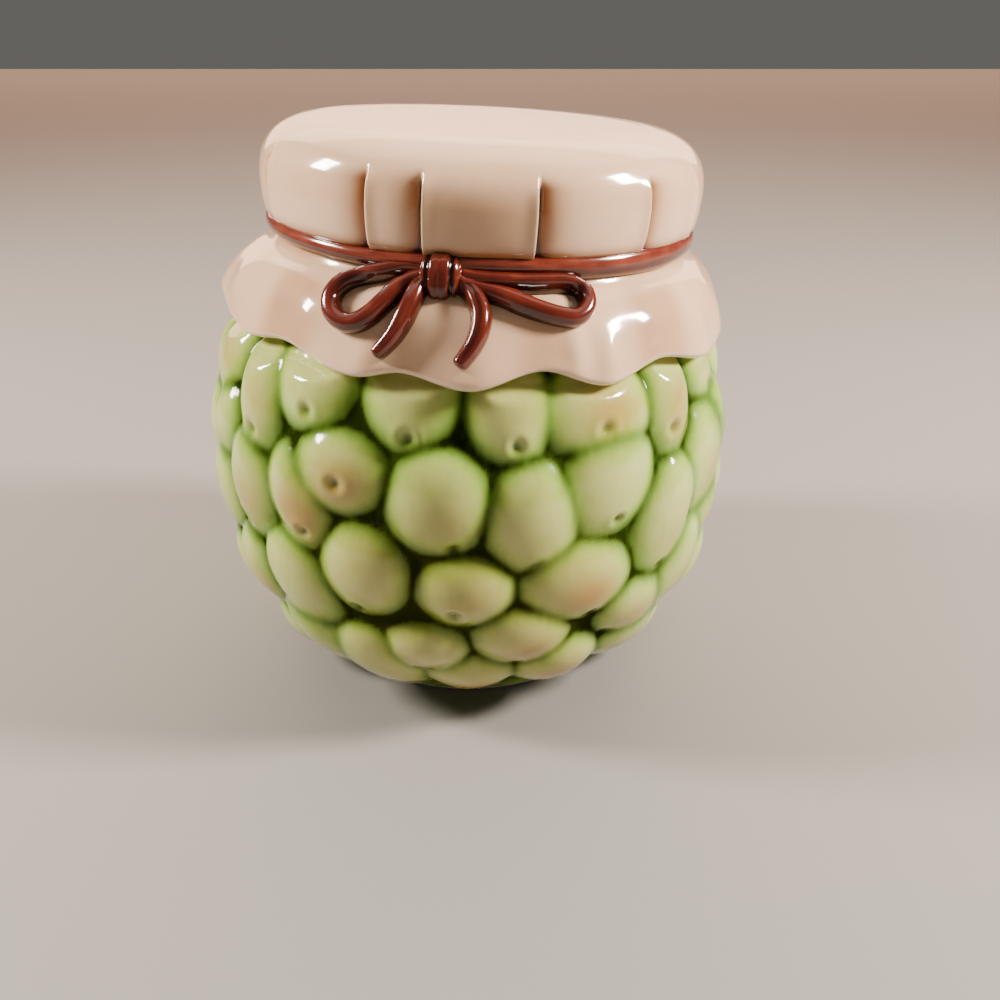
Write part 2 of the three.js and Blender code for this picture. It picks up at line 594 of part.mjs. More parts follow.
const lid = new THREE.Group();
lid.name = "lid";
lid.position.copy(LEAN_AT);
lid.rotation.y = LEAN;
lid.add(
  mesh("lid_cover", makeCover(), cream, 0.14),
  trim("ribbon_band", cord),
  trim("bow_knot", makeKnot().subtract(besideCord)),
  trim("bow_loop_left", coil(LOOP_LEFT, loopHalves).subtract(besideKnot)),
  trim("bow_loop_right", coil(LOOP_RIGHT, loopHalves).subtract(besideRightTail)),
  trim("bow_tail_left", coil(TAIL_LEFT, tailHalves).subtract(besideLeftLoop)),
  trim("bow_tail_right", coil(TAIL_RIGHT, tailHalves).subtract(besideKnot)),
);

const jar = new THREE.Group();
jar.name = "grape_lidded_jar";
jar.add(mesh("jar_body", makePot(), "#b9cf8f", 0.16), lid);

export default jar;
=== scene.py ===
"""Looks of a glazed ceramic kitchen jar: a pot cast as a bunch of green grapes, under a loose lid
cast as a cloth cover that is tied on with a cord and a bow.

Sizes are in millimetres and turns are in degrees from the front, positive to the right. The mouth
and the lid share one frame that leans a little to the right, called the cover frame.
"""

import logging
import math
from dataclasses import dataclass
from enum import Enum

import bpy
import numpy as np
from numpy.typing import NDArray
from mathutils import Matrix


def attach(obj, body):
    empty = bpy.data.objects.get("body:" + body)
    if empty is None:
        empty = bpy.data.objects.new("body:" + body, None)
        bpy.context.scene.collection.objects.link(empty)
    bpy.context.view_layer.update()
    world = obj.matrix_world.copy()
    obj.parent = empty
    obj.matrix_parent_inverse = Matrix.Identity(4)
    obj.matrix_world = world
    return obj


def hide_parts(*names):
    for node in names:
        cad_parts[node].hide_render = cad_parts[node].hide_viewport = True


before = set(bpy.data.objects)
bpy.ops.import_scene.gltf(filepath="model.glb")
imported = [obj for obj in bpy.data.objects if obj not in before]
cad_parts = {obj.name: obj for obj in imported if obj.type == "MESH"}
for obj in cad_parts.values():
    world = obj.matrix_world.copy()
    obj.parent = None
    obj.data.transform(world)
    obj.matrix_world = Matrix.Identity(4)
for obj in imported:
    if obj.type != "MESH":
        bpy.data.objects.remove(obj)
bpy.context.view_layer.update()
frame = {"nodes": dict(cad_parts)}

Array = NDArray[np.float64]
Pair = tuple[float, float]
Triple = tuple[float, float, float]
MM = 0.001

log = logging.getLogger("grape_jar")


class Body(Enum):
    """The rigid body of the jar that a piece moves with."""

    JAR = "jar"
    LID = "lid"


class Slot(Enum):
    """The glaze slot of the record that a piece takes its finish from."""

    GREEN = "green_glaze"
    CREAM = "cream_glaze"
    BROWN = "brown_glaze"


class Ends(Enum):
    """How the first and last rings of a skin are finished."""

    POLES = "each end is closed onto one point"
    RING = "the last ring joins the first"


# ---------------------------------------------------------------- shapes worked out as arrays


def smooth(start: float, end: float, value: Array) -> Array:
    """Smooth step: 0 up to start, 1 from end, and 3u^2 - 2u^3 of the share u between them.

    Args:
        start: Value where the step leaves 0.
        end: Value where it reaches 1.
        value: Values to judge.

    Returns:
        The step at each value.
    """
    share = np.clip((value - start) / (end - start), 0.0, 1.0)
    return share * share * (3.0 - 2.0 * share)


def polar(turn: Array, radius: Array, height: Array) -> Array:
    """Points at a turn from the front: (r sin t, -r cos t, z).

    Args:
        turn: Turn in degrees.
        radius: Distance from the upright axis.
        height: Height.

    Returns:
        Points with x, y and z on the last axis.
    """
    angle = np.radians(turn)
    x, y, z = np.broadcast_arrays(radius * np.sin(angle), -radius * np.cos(angle), height)
    return np.stack((x, y, z), axis=-1)


def unit(vectors: Array) -> Array:
    """Vectors scaled to length one."""
    return vectors / np.linalg.norm(vectors, axis=-1, keepdims=True)


def turn_between(turn: Array, centre: float) -> Array:
    """Turn from centre to each turn, the short way round, in degrees."""
    return (turn - centre + 180.0) % 360.0 - 180.0


def smooth_path(points: Array, count: int, bunch: float = 0.0) -> Array:
    """A smooth curve through points, sampled evenly along its length.

    The curve is a centripetal Catmull-Rom spline: the spacing of its knots is the square root of
    the distance between points, and each slope comes from a point and its two neighbours.

    Args:
        points: The points, one in each row, of any dimension.
        count: Number of samples.
        bunch: From 0, even spacing, to 1, where samples crowd towards both ends.

    Returns:
        The samples, one in each row.
    """
    p = np.asarray(points, dtype=float)
    p = np.vstack((2 * p[0] - p[1], p, 2 * p[-1] - p[-2]))
    knots = np.concatenate(([0.0], np.cumsum(np.sqrt(np.linalg.norm(np.diff(p, axis=0), axis=1)))))
    gap = np.diff(knots)[:, None]
    step = np.diff(p, axis=0) / gap
    slope = step[:-1] - (p[2:] - p[:-2]) / (gap[:-1] + gap[1:]) + step[1:]
    inner, at = p[1:-1], knots[1:-1]
    t = np.linspace(at[0], at[-1], 40 * len(inner))
    k = np.clip(np.searchsorted(at, t, side="right") - 1, 0, len(inner) - 2)
    width = (at[k + 1] - at[k])[:, None]
    u = (t - at[k])[:, None] / width
    curve = ((2 * u**3 - 3 * u**2 + 1) * inner[k] + (u**3 - 2 * u**2 + u) * width * slope[k]
             + (-2 * u**3 + 3 * u**2) * inner[k + 1] + (u**3 - u**2) * width * slope[k + 1])
    run = np.concatenate(([0.0], np.cumsum(np.linalg.norm(np.diff(curve, axis=0), axis=1))))
    share = np.linspace(0.0, 1.0, count)
    share = (1 - bunch) * share + bunch * (0.5 - 0.5 * np.cos(np.pi * share))
    return np.stack([np.interp(share * run[-1], run, column) for column in curve.T], axis=-1)


def round_about(table: Array, turn: Array) -> Array:
    """Values of a table of [turn, ...values] that closes on itself, eased between its rows.

    Args:
        table: Rows in order of turn, less than a full turn from first to last.
        turn: Turns to look up.

    Returns:
        The values at each turn, on a new last axis.
    """
    closed = np.vstack((table, table[0] + np.r_[360.0, np.zeros(table.shape[1] - 1)]))
    t = (turn - closed[0, 0]) % 360.0 + closed[0, 0]
    k = np.clip(np.searchsorted(closed[:, 0], t, side="right") - 1, 0, len(table) - 1)
    u = (t - closed[k, 0]) / (closed[k + 1, 0] - closed[k, 0])
    ease = (u * u * (3 - 2 * u))[..., None]
    return closed[k, 1:] + (closed[k + 1, 1:] - closed[k, 1:]) * ease


def soften(values: Array, passes: int) -> Array:
    """Values on rings blurred over their neighbours, along and across the rings.

    Args:
        values: One value for each point, as closed rings one above the other.
        passes: How often the weights 1, 2, 1 are laid over each point and its neighbours.

    Returns:
        The blurred values.
    """
    for _ in range(passes):
        values = (np.roll(values, 1, axis=1) + 2 * values + np.roll(values, -1, axis=1)) / 4
        padded = np.concatenate((values[:1], values, values[-1:]))
        values = (padded[:-2] + 2 * padded[1:-1] + padded[2:]) / 4
    return values


@dataclass(frozen=True)
class CoverFrame:
    """The frame that the mouth and the lid share: turned about Y by lean, then moved to at."""

    lean: float = 2.7
    at: Triple = (2.4, 0.0, 110.0)

    def matrix(self) -> Array:
        """Rotation from the cover frame to the jar's frame."""
        c, s = math.cos(math.radians(self.lean)), math.sin(math.radians(self.lean))
        return np.array([[c, 0.0, s], [0.0, 1.0, 0.0], [-s, 0.0, c]])

    def to_jar(self, points: Array) -> Array:
        """Points of the cover frame, in the jar's frame."""
        return points @ self.matrix().T + np.array(self.at)

    def from_jar(self, points: Array) -> Array:
        """Points of the jar's frame, in the cover frame."""
        return (points - np.array(self.at)) @ self.matrix()


def shown(name: str, data: bpy.types.ID) -> bpy.types.Object:
    """A new object of the scene that shows a mesh, a light or a camera."""
    made = bpy.data.objects.new(name, data)
    bpy.context.scene.collection.objects.link(made)
    return made


def skin(name: str, grid: Array, ends: Ends, marks: dict[str, Array]) -> bpy.types.Object:
    """A closed mesh skinned over a stack of rings of points, with values kept on its points.

    Args:
        name: Name of the object and its mesh.
        grid: Points in millimetres, as rings, points round a ring, and x, y, z.
        ends: How the first and last rings are finished.
        marks: Values for each point by attribute name, shaped like the grid without x, y, z.

    Returns:
        The object, in metres at the origin, with its faces pointing outwards.
    """
    rings, columns = grid.shape[:2]
    ring_ids = np.arange(rings if ends is Ends.RING else rings - 1)
    i, j = np.meshgrid(ring_ids, np.arange(columns), indexing="ij")
    up, on = (i + 1) % rings, (j + 1) % columns
    quads = np.stack((i * columns + j, i * columns + on, up * columns + on, up * columns + j),
                     axis=-1).reshape(-1, 4)
    points = grid.reshape(-1, 3)
    values = {key: mark.reshape(-1) for key, mark in marks.items()}
    fans = np.empty((0, 3), dtype=int)
    if ends is Ends.POLES:
        near, far = np.arange(columns), (rings - 1) * columns + np.arange(columns)
        low, high = len(points), len(points) + 1
        points = np.vstack((points, grid[0].mean(axis=0), grid[-1].mean(axis=0)))
        values = {key: np.concatenate((value, [value[near].mean(), value[far].mean()]))
                  for key, value in values.items()}
        fans = np.vstack((
            np.stack((np.roll(near, -1), near, np.full(columns, low)), axis=-1),
            np.stack((far, np.roll(far, -1), np.full(columns, high)), axis=-1),
        ))
    corners = np.vstack((quads[:, [0, 1, 2]], quads[:, [0, 2, 3]], fans))
    a, b, c = (points[corners[:, k]] for k in range(3))
    if np.einsum("ij,ij->i", a, np.cross(b, c)).sum() < 0:
        quads, fans = quads[:, ::-1], fans[:, ::-1]
    mesh = bpy.data.meshes.new(name)
    mesh.from_pydata((points * MM).tolist(), [], quads.tolist() + fans.tolist())
    mesh.polygons.foreach_set("use_smooth", np.ones(len(mesh.polygons), dtype=bool))
    for key, value in values.items():
        attribute = mesh.attributes.new(key, "FLOAT", "POINT")
        attribute.data.foreach_set("value", value.astype(np.float32))
    mesh.update()
    return shown(name, mesh)


# ---------------------------------------------------------------- finishes


def linear(code: str) -> tuple[float, float, float, float]:
    """An sRGB hex colour as linear red, green, blue and full alpha."""
    channels = [int(code[k:k + 2], 16) / 255.0 for k in (1, 3, 5)]
    return (*[c / 12.92 if c <= 0.04045 else ((c + 0.055) / 1.055) ** 2.4 for c in channels], 1.0)


def feed(tree: bpy.types.NodeTree, node: bpy.types.Node, inputs: dict) -> None:
    """Gives each input of a node, by its name or place, a link from a socket or a value."""
    for key, value in inputs.items():
        if isinstance(value, bpy.types.NodeSocket):
            tree.links.new(value, node.inputs[key])
        else:
            node.inputs[key].default_value = value


def add_node(tree: bpy.types.NodeTree, kind: str, inputs: dict | None = None,
             stops: list[tuple[float, str]] | None = None, out: int | str = 0,
             **settings: object) -> bpy.types.NodeSocket:
    """Adds a node with its settings and links.

    Args:
        tree: Node tree of the material.
        kind: Blender's name for the node.
        inputs: Socket or value for each input, by its name or place.
        stops: Places and hex colours of a colour ramp.
        out: Name or place of the output that is used.
        settings: Other properties of the node.

    Returns:
        That output of the node.
    """
    node = tree.nodes.new(kind)
    for key, value in settings.items():
        setattr(node, key, value)
    feed(tree, node, inputs or {})
    for k, (place, code) in enumerate(stops or []):
        ramp = node.color_ramp.elements
        stop = ramp[k] if k < 2 else ramp.new(place)
        stop.position, stop.color = place, linear(code)
    return node.outputs[out]


def start_glaze(name: str, keys: tuple[str, ...]) -> tuple:
    """Starts a material.

    Args:
        name: Name of the material.
        keys: Attributes of the mesh that drive it.

    Returns:
        The material, its node tree and shader, the object coordinates, and a socket for each key.
    """
    made = bpy.data.materials.new(name)
    made.use_nodes = True
    tree = made.node_tree
    place = add_node(tree, "ShaderNodeTexCoord", out="Object")
    marks = {key: add_node(tree, "ShaderNodeAttribute", out="Fac", attribute_name=key)
             for key in keys}
    return made, tree, tree.nodes["Principled BSDF"], place, marks


@dataclass(frozen=True)
class StainedAndShadedGreenGlaze:
    """Clear gloss glaze over white earthenware, with green stain sprayed into the hollows.

    The stain runs into the valleys and under each overhanging grape, so the crests stay pale
    and creamy, and the glaze shows sharp highlights that waver a little. Along the line of
    each valley the colour goes near black, which is painted shade over the stain, and the
    honey tint on the grapes that face the front is partly painted warm shade.
    """

    crest: str = "#C8D07C"
    flesh: str = "#A3C054"
    green: str = "#6A9034"
    # Near black: painted shade along the line of each valley, over the green stain.
    deep: str = "#142607"
    # Honey tan: partly the glaze's own tint, partly painted warm shade on the front.
    honey: str = "#AE8639"
    pit_dark: str = "#3E4A1C"
    inside: str = "#EFEADB"
    clay: str = "#E3DACB"
    blotch_mm: float = 16.0
    streak_mm: float = 2.2
    wave_mm: float = 13.0

    def material(self) -> bpy.types.Material:
        """The glaze, driven by the pot's stain with its painted shade, pit, ripe tint with its
        painted warm shade, inside and bare attributes.
        """
        made, tree, shader, place, marks = start_glaze(
            "stained_and_shaded_green_glaze", ("stain_and_shade", "pit", "ripe_and_warm_shade", "inside", "bare"))
        blotch = add_node(tree, "ShaderNodeTexNoise", {
            "Vector": place, "Scale": 1 / (self.blotch_mm * MM), "Detail": 4.0, "Roughness": 0.6})
        # Brush and drip marks run up and down the pot.
        long = add_node(tree, "ShaderNodeMapping", {"Vector": place, "Scale": (1.0, 1.0, 0.16)})
        streak = add_node(tree, "ShaderNodeTexNoise", {
            "Vector": long, "Scale": 1 / (self.streak_mm * MM), "Detail": 3.0})
        spread = add_node(tree, "ShaderNodeMath", {0: blotch, 1: 0.34, 2: -0.17},
                          operation="MULTIPLY_ADD")
        fine = add_node(tree, "ShaderNodeMath", {0: streak, 1: 0.16, 2: spread},
                        operation="MULTIPLY_ADD")
        even = add_node(tree, "ShaderNodeMath", {0: fine, 1: -0.08}, operation="ADD")
        stain_and_shade = add_node(tree, "ShaderNodeMath", {0: marks["stain_and_shade"], 1: even}, operation="ADD",
                         use_clamp=True)
        # Pale crests, green stain, and near black where painted shade fills the valleys.
        colour = add_node(tree, "ShaderNodeValToRGB", {"Fac": stain_and_shade}, stops=[
            (0.0, self.crest), (1.0, self.deep), (0.26, self.flesh), (0.58, self.green)])
        for key, code in (("ripe_and_warm_shade", self.honey), ("pit", self.pit_dark), ("inside", self.inside),
                          ("bare", self.clay)):
            colour = add_node(tree, "ShaderNodeMix", {
                "Factor": marks[key], "A": colour, "B": linear(code)}, out="Result",
                data_type="RGBA")
        rough = add_node(tree, "ShaderNodeMath", {0: marks["bare"], 1: 0.62, 2: 0.12},
                         operation="MULTIPLY_ADD")
        wave = add_node(tree, "ShaderNodeTexNoise", {
            "Vector": place, "Scale": 1 / (self.wave_mm * MM), "Detail": 2.0})
        bump = add_node(tree, "ShaderNodeBump", {
            "Height": wave, "Strength": 0.35, "Distance": 0.5 * MM})
        # The valleys lie too deep to mirror the pale room.
        sheen = add_node(tree, "ShaderNodeMath", {0: stain_and_shade, 1: -0.55, 2: 0.5},
                         operation="MULTIPLY_ADD", use_clamp=True)
        feed(tree, shader, {"Base Color": colour, "Roughness": rough, "Normal": bump,
                            "Specular IOR Level": sheen, "Coat Weight": sheen,
                            "Coat Roughness": 0.04})
        return made


@dataclass(frozen=True)
class CreamGlaze:
    """Warm cream gloss glaze over white earthenware.

    It pools a little darker and warmer in the creases, partly glaze and partly painted shade.
    The darker, warmer tone round the cord, in the dips of the skirt and on the front of the cap
    is painted shade. Along the hem it turns to a paler line, partly glaze thinning over the edge
    and partly a painted highlight.
    """

    body: str = "#F3C7A0"
    # Warm and deep browns: pooled glaze in the creases, and painted shade.
    warm: str = "#B07A50"
    deep: str = "#4A2614"
    # Paler line on the lip of the hem: thin glaze and a painted highlight.
    pale: str = "#F6E2CE"
    inside: str = "#EFDFCC"
    blotch_mm: float = 30.0
    wave_mm: float = 15.0

    def material(self) -> bpy.types.Material:
        """The glaze, driven by the cover's pool mark of pooled glaze and painted shade, its pale
        lip mark of thin glaze and painted highlight, and its inside mark.
        """
        made, tree, shader, place, marks = start_glaze(
            "cream_glaze_on_earthenware", ("pool", "thin_glaze_and_highlight", "inside"))
        blotch = add_node(tree, "ShaderNodeTexNoise", {
            "Vector": place, "Scale": 1 / (self.blotch_mm * MM), "Detail": 5.0, "Roughness": 0.55})
        spread = add_node(tree, "ShaderNodeMath", {0: blotch, 1: 0.30, 2: -0.12},
                          operation="MULTIPLY_ADD")
        # Pooled glaze and painted shade darken and warm the cream.
        pool = add_node(tree, "ShaderNodeMath", {0: marks["pool"], 1: spread}, operation="ADD",
                        use_clamp=True)
        colour = add_node(tree, "ShaderNodeValToRGB", {"Fac": pool}, stops=[
            (0.0, self.body), (1.0, self.deep), (0.6, self.warm)])
        for key, code in (("thin_glaze_and_highlight", self.pale), ("inside", self.inside)):
            colour = add_node(tree, "ShaderNodeMix", {
                "Factor": marks[key], "A": colour, "B": linear(code)}, out="Result",
                data_type="RGBA")
        wave = add_node(tree, "ShaderNodeTexNoise", {
            "Vector": place, "Scale": 1 / (self.wave_mm * MM), "Detail": 2.0})
        bump = add_node(tree, "ShaderNodeBump", {
            "Height": wave, "Strength": 0.3, "Distance": 0.45 * MM})
        feed(tree, shader, {"Base Color": colour, "Normal": bump, "Roughness": 0.13,
                            "Coat Weight": 0.6, "Coat Roughness": 0.03})
        return made


@dataclass(frozen=True)
class BrushedBrownGlaze:
    """Red-brown glaze laid on by brush and fired glossy.

    It turns a lighter brick red on the high spots, partly where it runs thin and partly as a
    painted highlight, and goes almost black along the foot of each coil, in its grooves and on
    the underside of the cord, which is painted shade. Streaks follow the brush.
    """

    # Lighter brick red: thin glaze on the high spots, and a painted highlight there.
    thin_glaze_and_highlight: str = "#9C4A35"
    body: str = "#5E1F12"
    # Near black: painted shade at the foot of each coil.
    deep: str = "#1A0503"
    streak_mm: float = 1.6
    blotch_mm: float = 9.0

    def material(self) -> bpy.types.Material:
        """The glaze, driven by the coils' rise, along and across attributes."""
        made, tree, shader, place, marks = start_glaze(
            "brushed_brown_glaze", ("rise", "along", "across"))
        brush = add_node(tree, "ShaderNodeCombineXYZ", {"X": marks["along"], "Y": marks["across"]})
        long = add_node(tree, "ShaderNodeMapping", {"Vector": brush, "Scale": (0.12, 1.0, 1.0)})
        streak = add_node(tree, "ShaderNodeTexNoise", {
            "Vector": long, "Scale": 1 / self.streak_mm, "Detail": 4.0})
        blotch = add_node(tree, "ShaderNodeTexNoise", {
            "Vector": place, "Scale": 1 / (self.blotch_mm * MM), "Detail": 3.0})
        streaked = add_node(tree, "ShaderNodeMath", {0: streak, 1: 0.55, 2: -0.28},
                            operation="MULTIPLY_ADD")
        worn = add_node(tree, "ShaderNodeMath", {0: blotch, 1: 0.5, 2: streaked},
                        operation="MULTIPLY_ADD")
        # Painted highlight on the tops of the coils and painted shade at their feet, under the
        # brush marks.
        level = add_node(tree, "ShaderNodeMath", {0: marks["rise"], 1: 0.72, 2: worn},
                         operation="MULTIPLY_ADD")
        low = add_node(tree, "ShaderNodeMath", {0: level, 1: -0.27}, operation="ADD",
                       use_clamp=True)
        colour = add_node(tree, "ShaderNodeValToRGB", {"Fac": low}, stops=[
            (0.0, self.deep), (0.95, self.thin_glaze_and_highlight), (0.45, self.body)])
        bump = add_node(tree, "ShaderNodeBump", {
            "Height": streak, "Strength": 0.25, "Distance": 0.25 * MM})
        feed(tree, shader, {"Base Color": colour, "Normal": bump, "Roughness": 0.16,
                            "Coat Weight": 0.5, "Coat Roughness": 0.04})
        return made


# ---------------------------------------------------------------- the pot

# Grapes of the front as [turn, height, width, length, roll], from the cover down to the foot.
# Roll tips the upper end to the right.
FRONT_GRAPES = np.array([
    [-70, 135.5, 31, 36, -6], [-48.8, 128.2, 27, 39, -6], [-33.4, 138.5, 33, 34.5, 6],
    [-10.1, 138, 31, 36, 0], [10.5, 133, 29, 33, 0], [29, 129.5, 41, 32, 8],
    [49, 125, 26.5, 37, 4], [66.5, 135, 27, 34, 4], [70.5, 103, 27, 44, 4],
    [-63.5, 111, 23.5, 29.5, 0], [-65, 83.5, 26, 38.5, -6], [-51, 92.5, 28.5, 41.5, -5],
    [-35, 96, 27, 38, -14], [-25.5, 109, 36.5, 29.5, -6], [-4.5, 101.5, 33.5, 37, 0],
    [14, 94, 31.5, 40, -3], [30.5, 104, 36, 40.5, 14], [46.5, 80, 31, 47, 14],
    [63.5, 95, 37.5, 44.5, 4],
    [66.5, 74, 25, 34, 12], [-53.5, 55, 25, 36.5, -8], [-37.5, 57.5, 30, 43, -20],
    [-20.5, 72.5, 32, 36, -2], [0.5, 68.5, 32.5, 29, 0], [24.5, 67.5, 40.5, 33.5, 12],
    [41, 48.5, 34, 30, 30], [54.5, 52.5, 30, 45, 14],
    [-37.5, 33, 32, 41, -18], [-21.5, 26, 33, 45, -16], [-9, 40.5, 30, 27, -6],
    [13, 45.5, 34, 31, 18], [24, 25, 33, 34, 14], [45.5, 29.5, 33, 34, 16], [1, 24.5, 33, 28, 0],
])

# Rows round the back as [first turn, step, count, height, width, length].
BACK_ROWS = (
    (84.0, 17.3, 12, 131, 32, 36), (76.5, 15.75, 14, 103, 31, 38), (80.5, 15.8, 14, 72, 32, 38),
    (69.0, 18.4, 13, 42, 32, 36), (62.0, 21.6, 12, 20, 33, 30),
)

# Blossom ends that show, as the grape's place in the list with how far across and up it they lie.
BLOSSOM_ENDS = {
    1: (0.0, -0.48), 2: (0.13, -0.53), 3: (-0.01, -0.68), 4: (0.02, -0.58), 5: (0.01, -0.28),
    6: (-0.15, -0.32), 11: (-0.16, -0.41), 12: (0.09, -0.39), 13: (0.11, 0.0),
    15: (0.0, -0.6), 16: (0.23, -0.44), 23: (-0.21, -0.36), 24: (0.36, -0.61),
}


@dataclass(frozen=True)
class GrapePot:
    """The pot: a turned wall with grapes standing off it, a leaning neck, and a plain inside."""

    cover: CoverFrame = CoverFrame()
    foot_r: float = 62.0
    foot_width: float = 8.0
    foot_recess: float = 2.0
    foot_high: float = 8.0
    body_r: float = 106.0
    body_z: float = 84.0
    shoulder_r: float = 84.0
    shoulder_z: float = 150.0
    floor: float = 6.0
    wall: float = 3.0
    relief: float = 9.5
    grape_depth: float = 14.5
    grape_swell: float = 1.23
    grape_tuck: float = 9.0
    mouth_r: float = 64.0
    neck_r: float = 70.5
    rim_z: float = 60.0
    hem_r: float = 96.5
    hem_z: float = 37.0
    columns: int = 500
    relief_rings: int = 156
    crowding: float = 17.0  # how strongly the columns crowd towards the front, in degrees
    pool: float = 1.4  # roundness that the glaze gives the valleys
    web: float = 3.0  # how far the ground between three grapes stands off the plain wall
    pit_deep: float = 1.7
    pit_half: float = 1.7
    pit_rim: float = 0.25
    valley_dark: float = 2.3  # how far the near-black line, stain and painted shade, reaches from a valley
    valley_shade: float = 6.5  # how far the lighter stain beside it reaches
    shave: float = 0.15  # step by which a grape is cut back until the skirt clears it
    shave_steps: int = 90

    def turns(self) -> Array:
        """Turns of the columns: t - crowding sin t for even turns t, so closest at the front."""
        even = np.arange(self.columns) * 360.0 / self.columns
        return even - self.crowding * np.sin(np.radians(even))

    def crest(self) -> Array:
        """Reach of the grapes as [radius, height], out from the foot and in to the shoulder."""
        belly = np.array([[0, 0], [0.26, 0.095], [0.57, 0.285], [0.81, 0.5], [0.955, 0.74], [1, 1]])
        shoulder = np.array([[0.02, 0.21], [0.11, 0.47], [0.32, 0.7], [0.68, 0.88], [1, 1]])
        low, wide = np.array([self.foot_r, 0.0]), np.array([self.body_r, self.body_z])
        top = np.array([self.shoulder_r, self.shoulder_z])
        return np.vstack((low + (wide - low) * belly, wide + (top - wide) * shoulder))

    def grapes(self) -> Array:
        """All grapes as [turn, height, width, length, roll]; the back ones vary by sines."""
        rows = [FRONT_GRAPES]
        for row, (first, step, count, height, width, length) in enumerate(BACK_ROWS):
            i = np.arange(count)
            wobble = [np.sin(i * 2.4 + row * 1.7 + k * 2.1) for k in range(6)]
            rows.append(np.stack((first + i * step + 1.6 * wobble[1], height + 3 * wobble[2],
                                  width + 1.5 * wobble[3], length + 2.5 * wobble[4],
                                  9 * wobble[5]), axis=-1))
        return np.vstack(rows)

    def balls(self) -> tuple[Array, Array]:
        """Centre of each grape, and the matrix that turns the space round it into a unit ball.

        A grape is an ellipsoid with its long axis up the wall. It is scaled, rolled about the
        way out, tipped back by the slope of the wall and the tuck, and turned to its place.
        """
        turn, height, width, length, roll = self.grapes().T
        radius, level = self.crest().T
        ahead, behind = np.interp(height + 6, level, radius), np.interp(height - 6, level, radius)
        slope = np.arctan2(ahead - behind, 12.0)
        out = np.interp(height, level, radius) - self.grape_depth * np.cos(slope)
        centre = polar(turn, out, height + self.grape_depth * np.sin(slope) * 0.5)
        one, nil = np.ones_like(turn), np.zeros_like(turn)

        def spin(angle: Array, axis: int) -> Array:
            """Rotation matrices about one axis."""
            c, s = np.cos(angle), np.sin(angle)
            rows = {0: [one, nil, nil, nil, c, -s, nil, s, c],
                    1: [c, nil, s, nil, one, nil, -s, nil, c],
                    2: [c, -s, nil, s, c, nil, nil, nil, one]}[axis]
            return np.stack(rows, axis=-1).reshape(-1, 3, 3)

        turned = (spin(np.radians(turn), 2) @ spin(slope + math.radians(self.grape_tuck), 0)
                  @ spin(np.radians(roll), 1))
        half = np.stack((width / 2 * self.grape_swell, self.grape_depth * one,
                         length / 2 * self.grape_swell), axis=-1)
        return centre, np.linalg.inv(turned * half[:, None, :])

    def blossom_ends(self) -> Array:
        """Where each grape has its blossom end, as [across, up] of its unit ball."""
        k = np.arange(len(self.grapes()))
        ends = np.stack((0.25 * np.sin(k * 1.9), -0.62 + 0.1 * np.sin(k * 2.7)), axis=-1)
        for grape, place in BLOSSOM_ENDS.items():
            ends[grape] = place
        return ends

    def relief_grid(self) -> tuple[Array, dict[str, Array]]:
        """Rings of the outside from the foot to the shoulder, with their attributes.

        Along the line straight out of the plain wall each point takes the farthest exit from the
        ellipsoids, blended as k log(sum of exp(exit / k)) so that the valleys are rounded. Past
        the edge of a grape the root under the exit changes sign, and the wall drops on. Each
        grape has a round pit at its blossom end with a low rim. Under the cover the grapes die
        away, so that the skirt of the lid clears them.
        """
        crest = self.crest()
        line = np.vstack(([self.foot_r + 1.5, 3.0], crest[1:5], crest[6:]))
        line[1:, 0] -= self.relief
        wall = smooth_path(line, self.relief_rings)
        ahead = unit(np.gradient(wall, axis=0))
        turn = self.turns()[None, :]
        start = polar(turn, wall[:, :1], wall[:, 1:])
        out = polar(turn, ahead[:, 1:], -ahead[:, :1])

        shape = start.shape[:2]
        best, second = np.zeros(shape), np.zeros(shape)
        total = np.full(shape, math.exp(self.web / self.pool))
        pit, dark, ripe_and_warm_shade, upper = (np.zeros(shape) for _ in range(4))
        grapes, ends = self.grapes(), self.blossom_ends()
        for k, (centre, ball) in enumerate(zip(*self.balls())):
            o, d = (start - centre) @ ball.T, out @ ball.T
            dd, od, oo = (d * d).sum(-1), (o * d).sum(-1), (o * o).sum(-1)
            root = od * od - dd * (oo - 1.0)
            leave = np.maximum((np.sign(root) * np.sqrt(np.abs(root)) - od) / dd, 0.0)
            at = o + d * leave[..., None]
            gap = np.hypot((at[..., 0] - ends[k, 0]) * grapes[k, 2] / 2,
                           (at[..., 2] - ends[k, 1]) * grapes[k, 3] / 2)
            wins = leave > best
            size = 1.0 + 0.2 * math.sin(k * 3.1)
            pit = np.where(wins, self.pit_deep * np.exp(-((gap / (self.pit_half * size)) ** 2))
                           - self.pit_rim * np.exp(-(((gap - 3.6 * size) / 1.2) ** 2)), pit)
            dark = np.where(wins, np.exp(-((gap / (1.5 * size)) ** 2)), dark)
            # Tint at the middle of each grape, partly its own honey colour and partly painted warm
            # light.
            honey = 0.5 + 0.5 * math.sin(k * 5.3 + 1.0)
            middle = np.exp(-(((at[..., 0] - 0.15) / 0.6) ** 2 + ((at[..., 2] + 0.05) / 0.6) ** 2))
            ripe_and_warm_shade = np.where(wins, honey * middle, ripe_and_warm_shade)
            upper = np.where(wins, smooth(-0.15, 0.75, at[..., 2]), upper)
            second = np.where(wins, best, np.maximum(second, leave))
            best = np.maximum(best, leave)
            total += np.where(leave > 0, np.exp(leave / self.pool), 0.0)
        # The mould can't hold the sharp steps where one grape lies behind another.
        lift = soften(self.pool * np.log(total), 2)
        lead = best - second
        open_ground = soften(smooth(0.8, 2.6, lead), 1)
        lift -= pit * open_ground
        lift *= smooth(1.0, self.foot_high, start[..., 2])
        sunk = smooth(8.4, 3.0, lift)

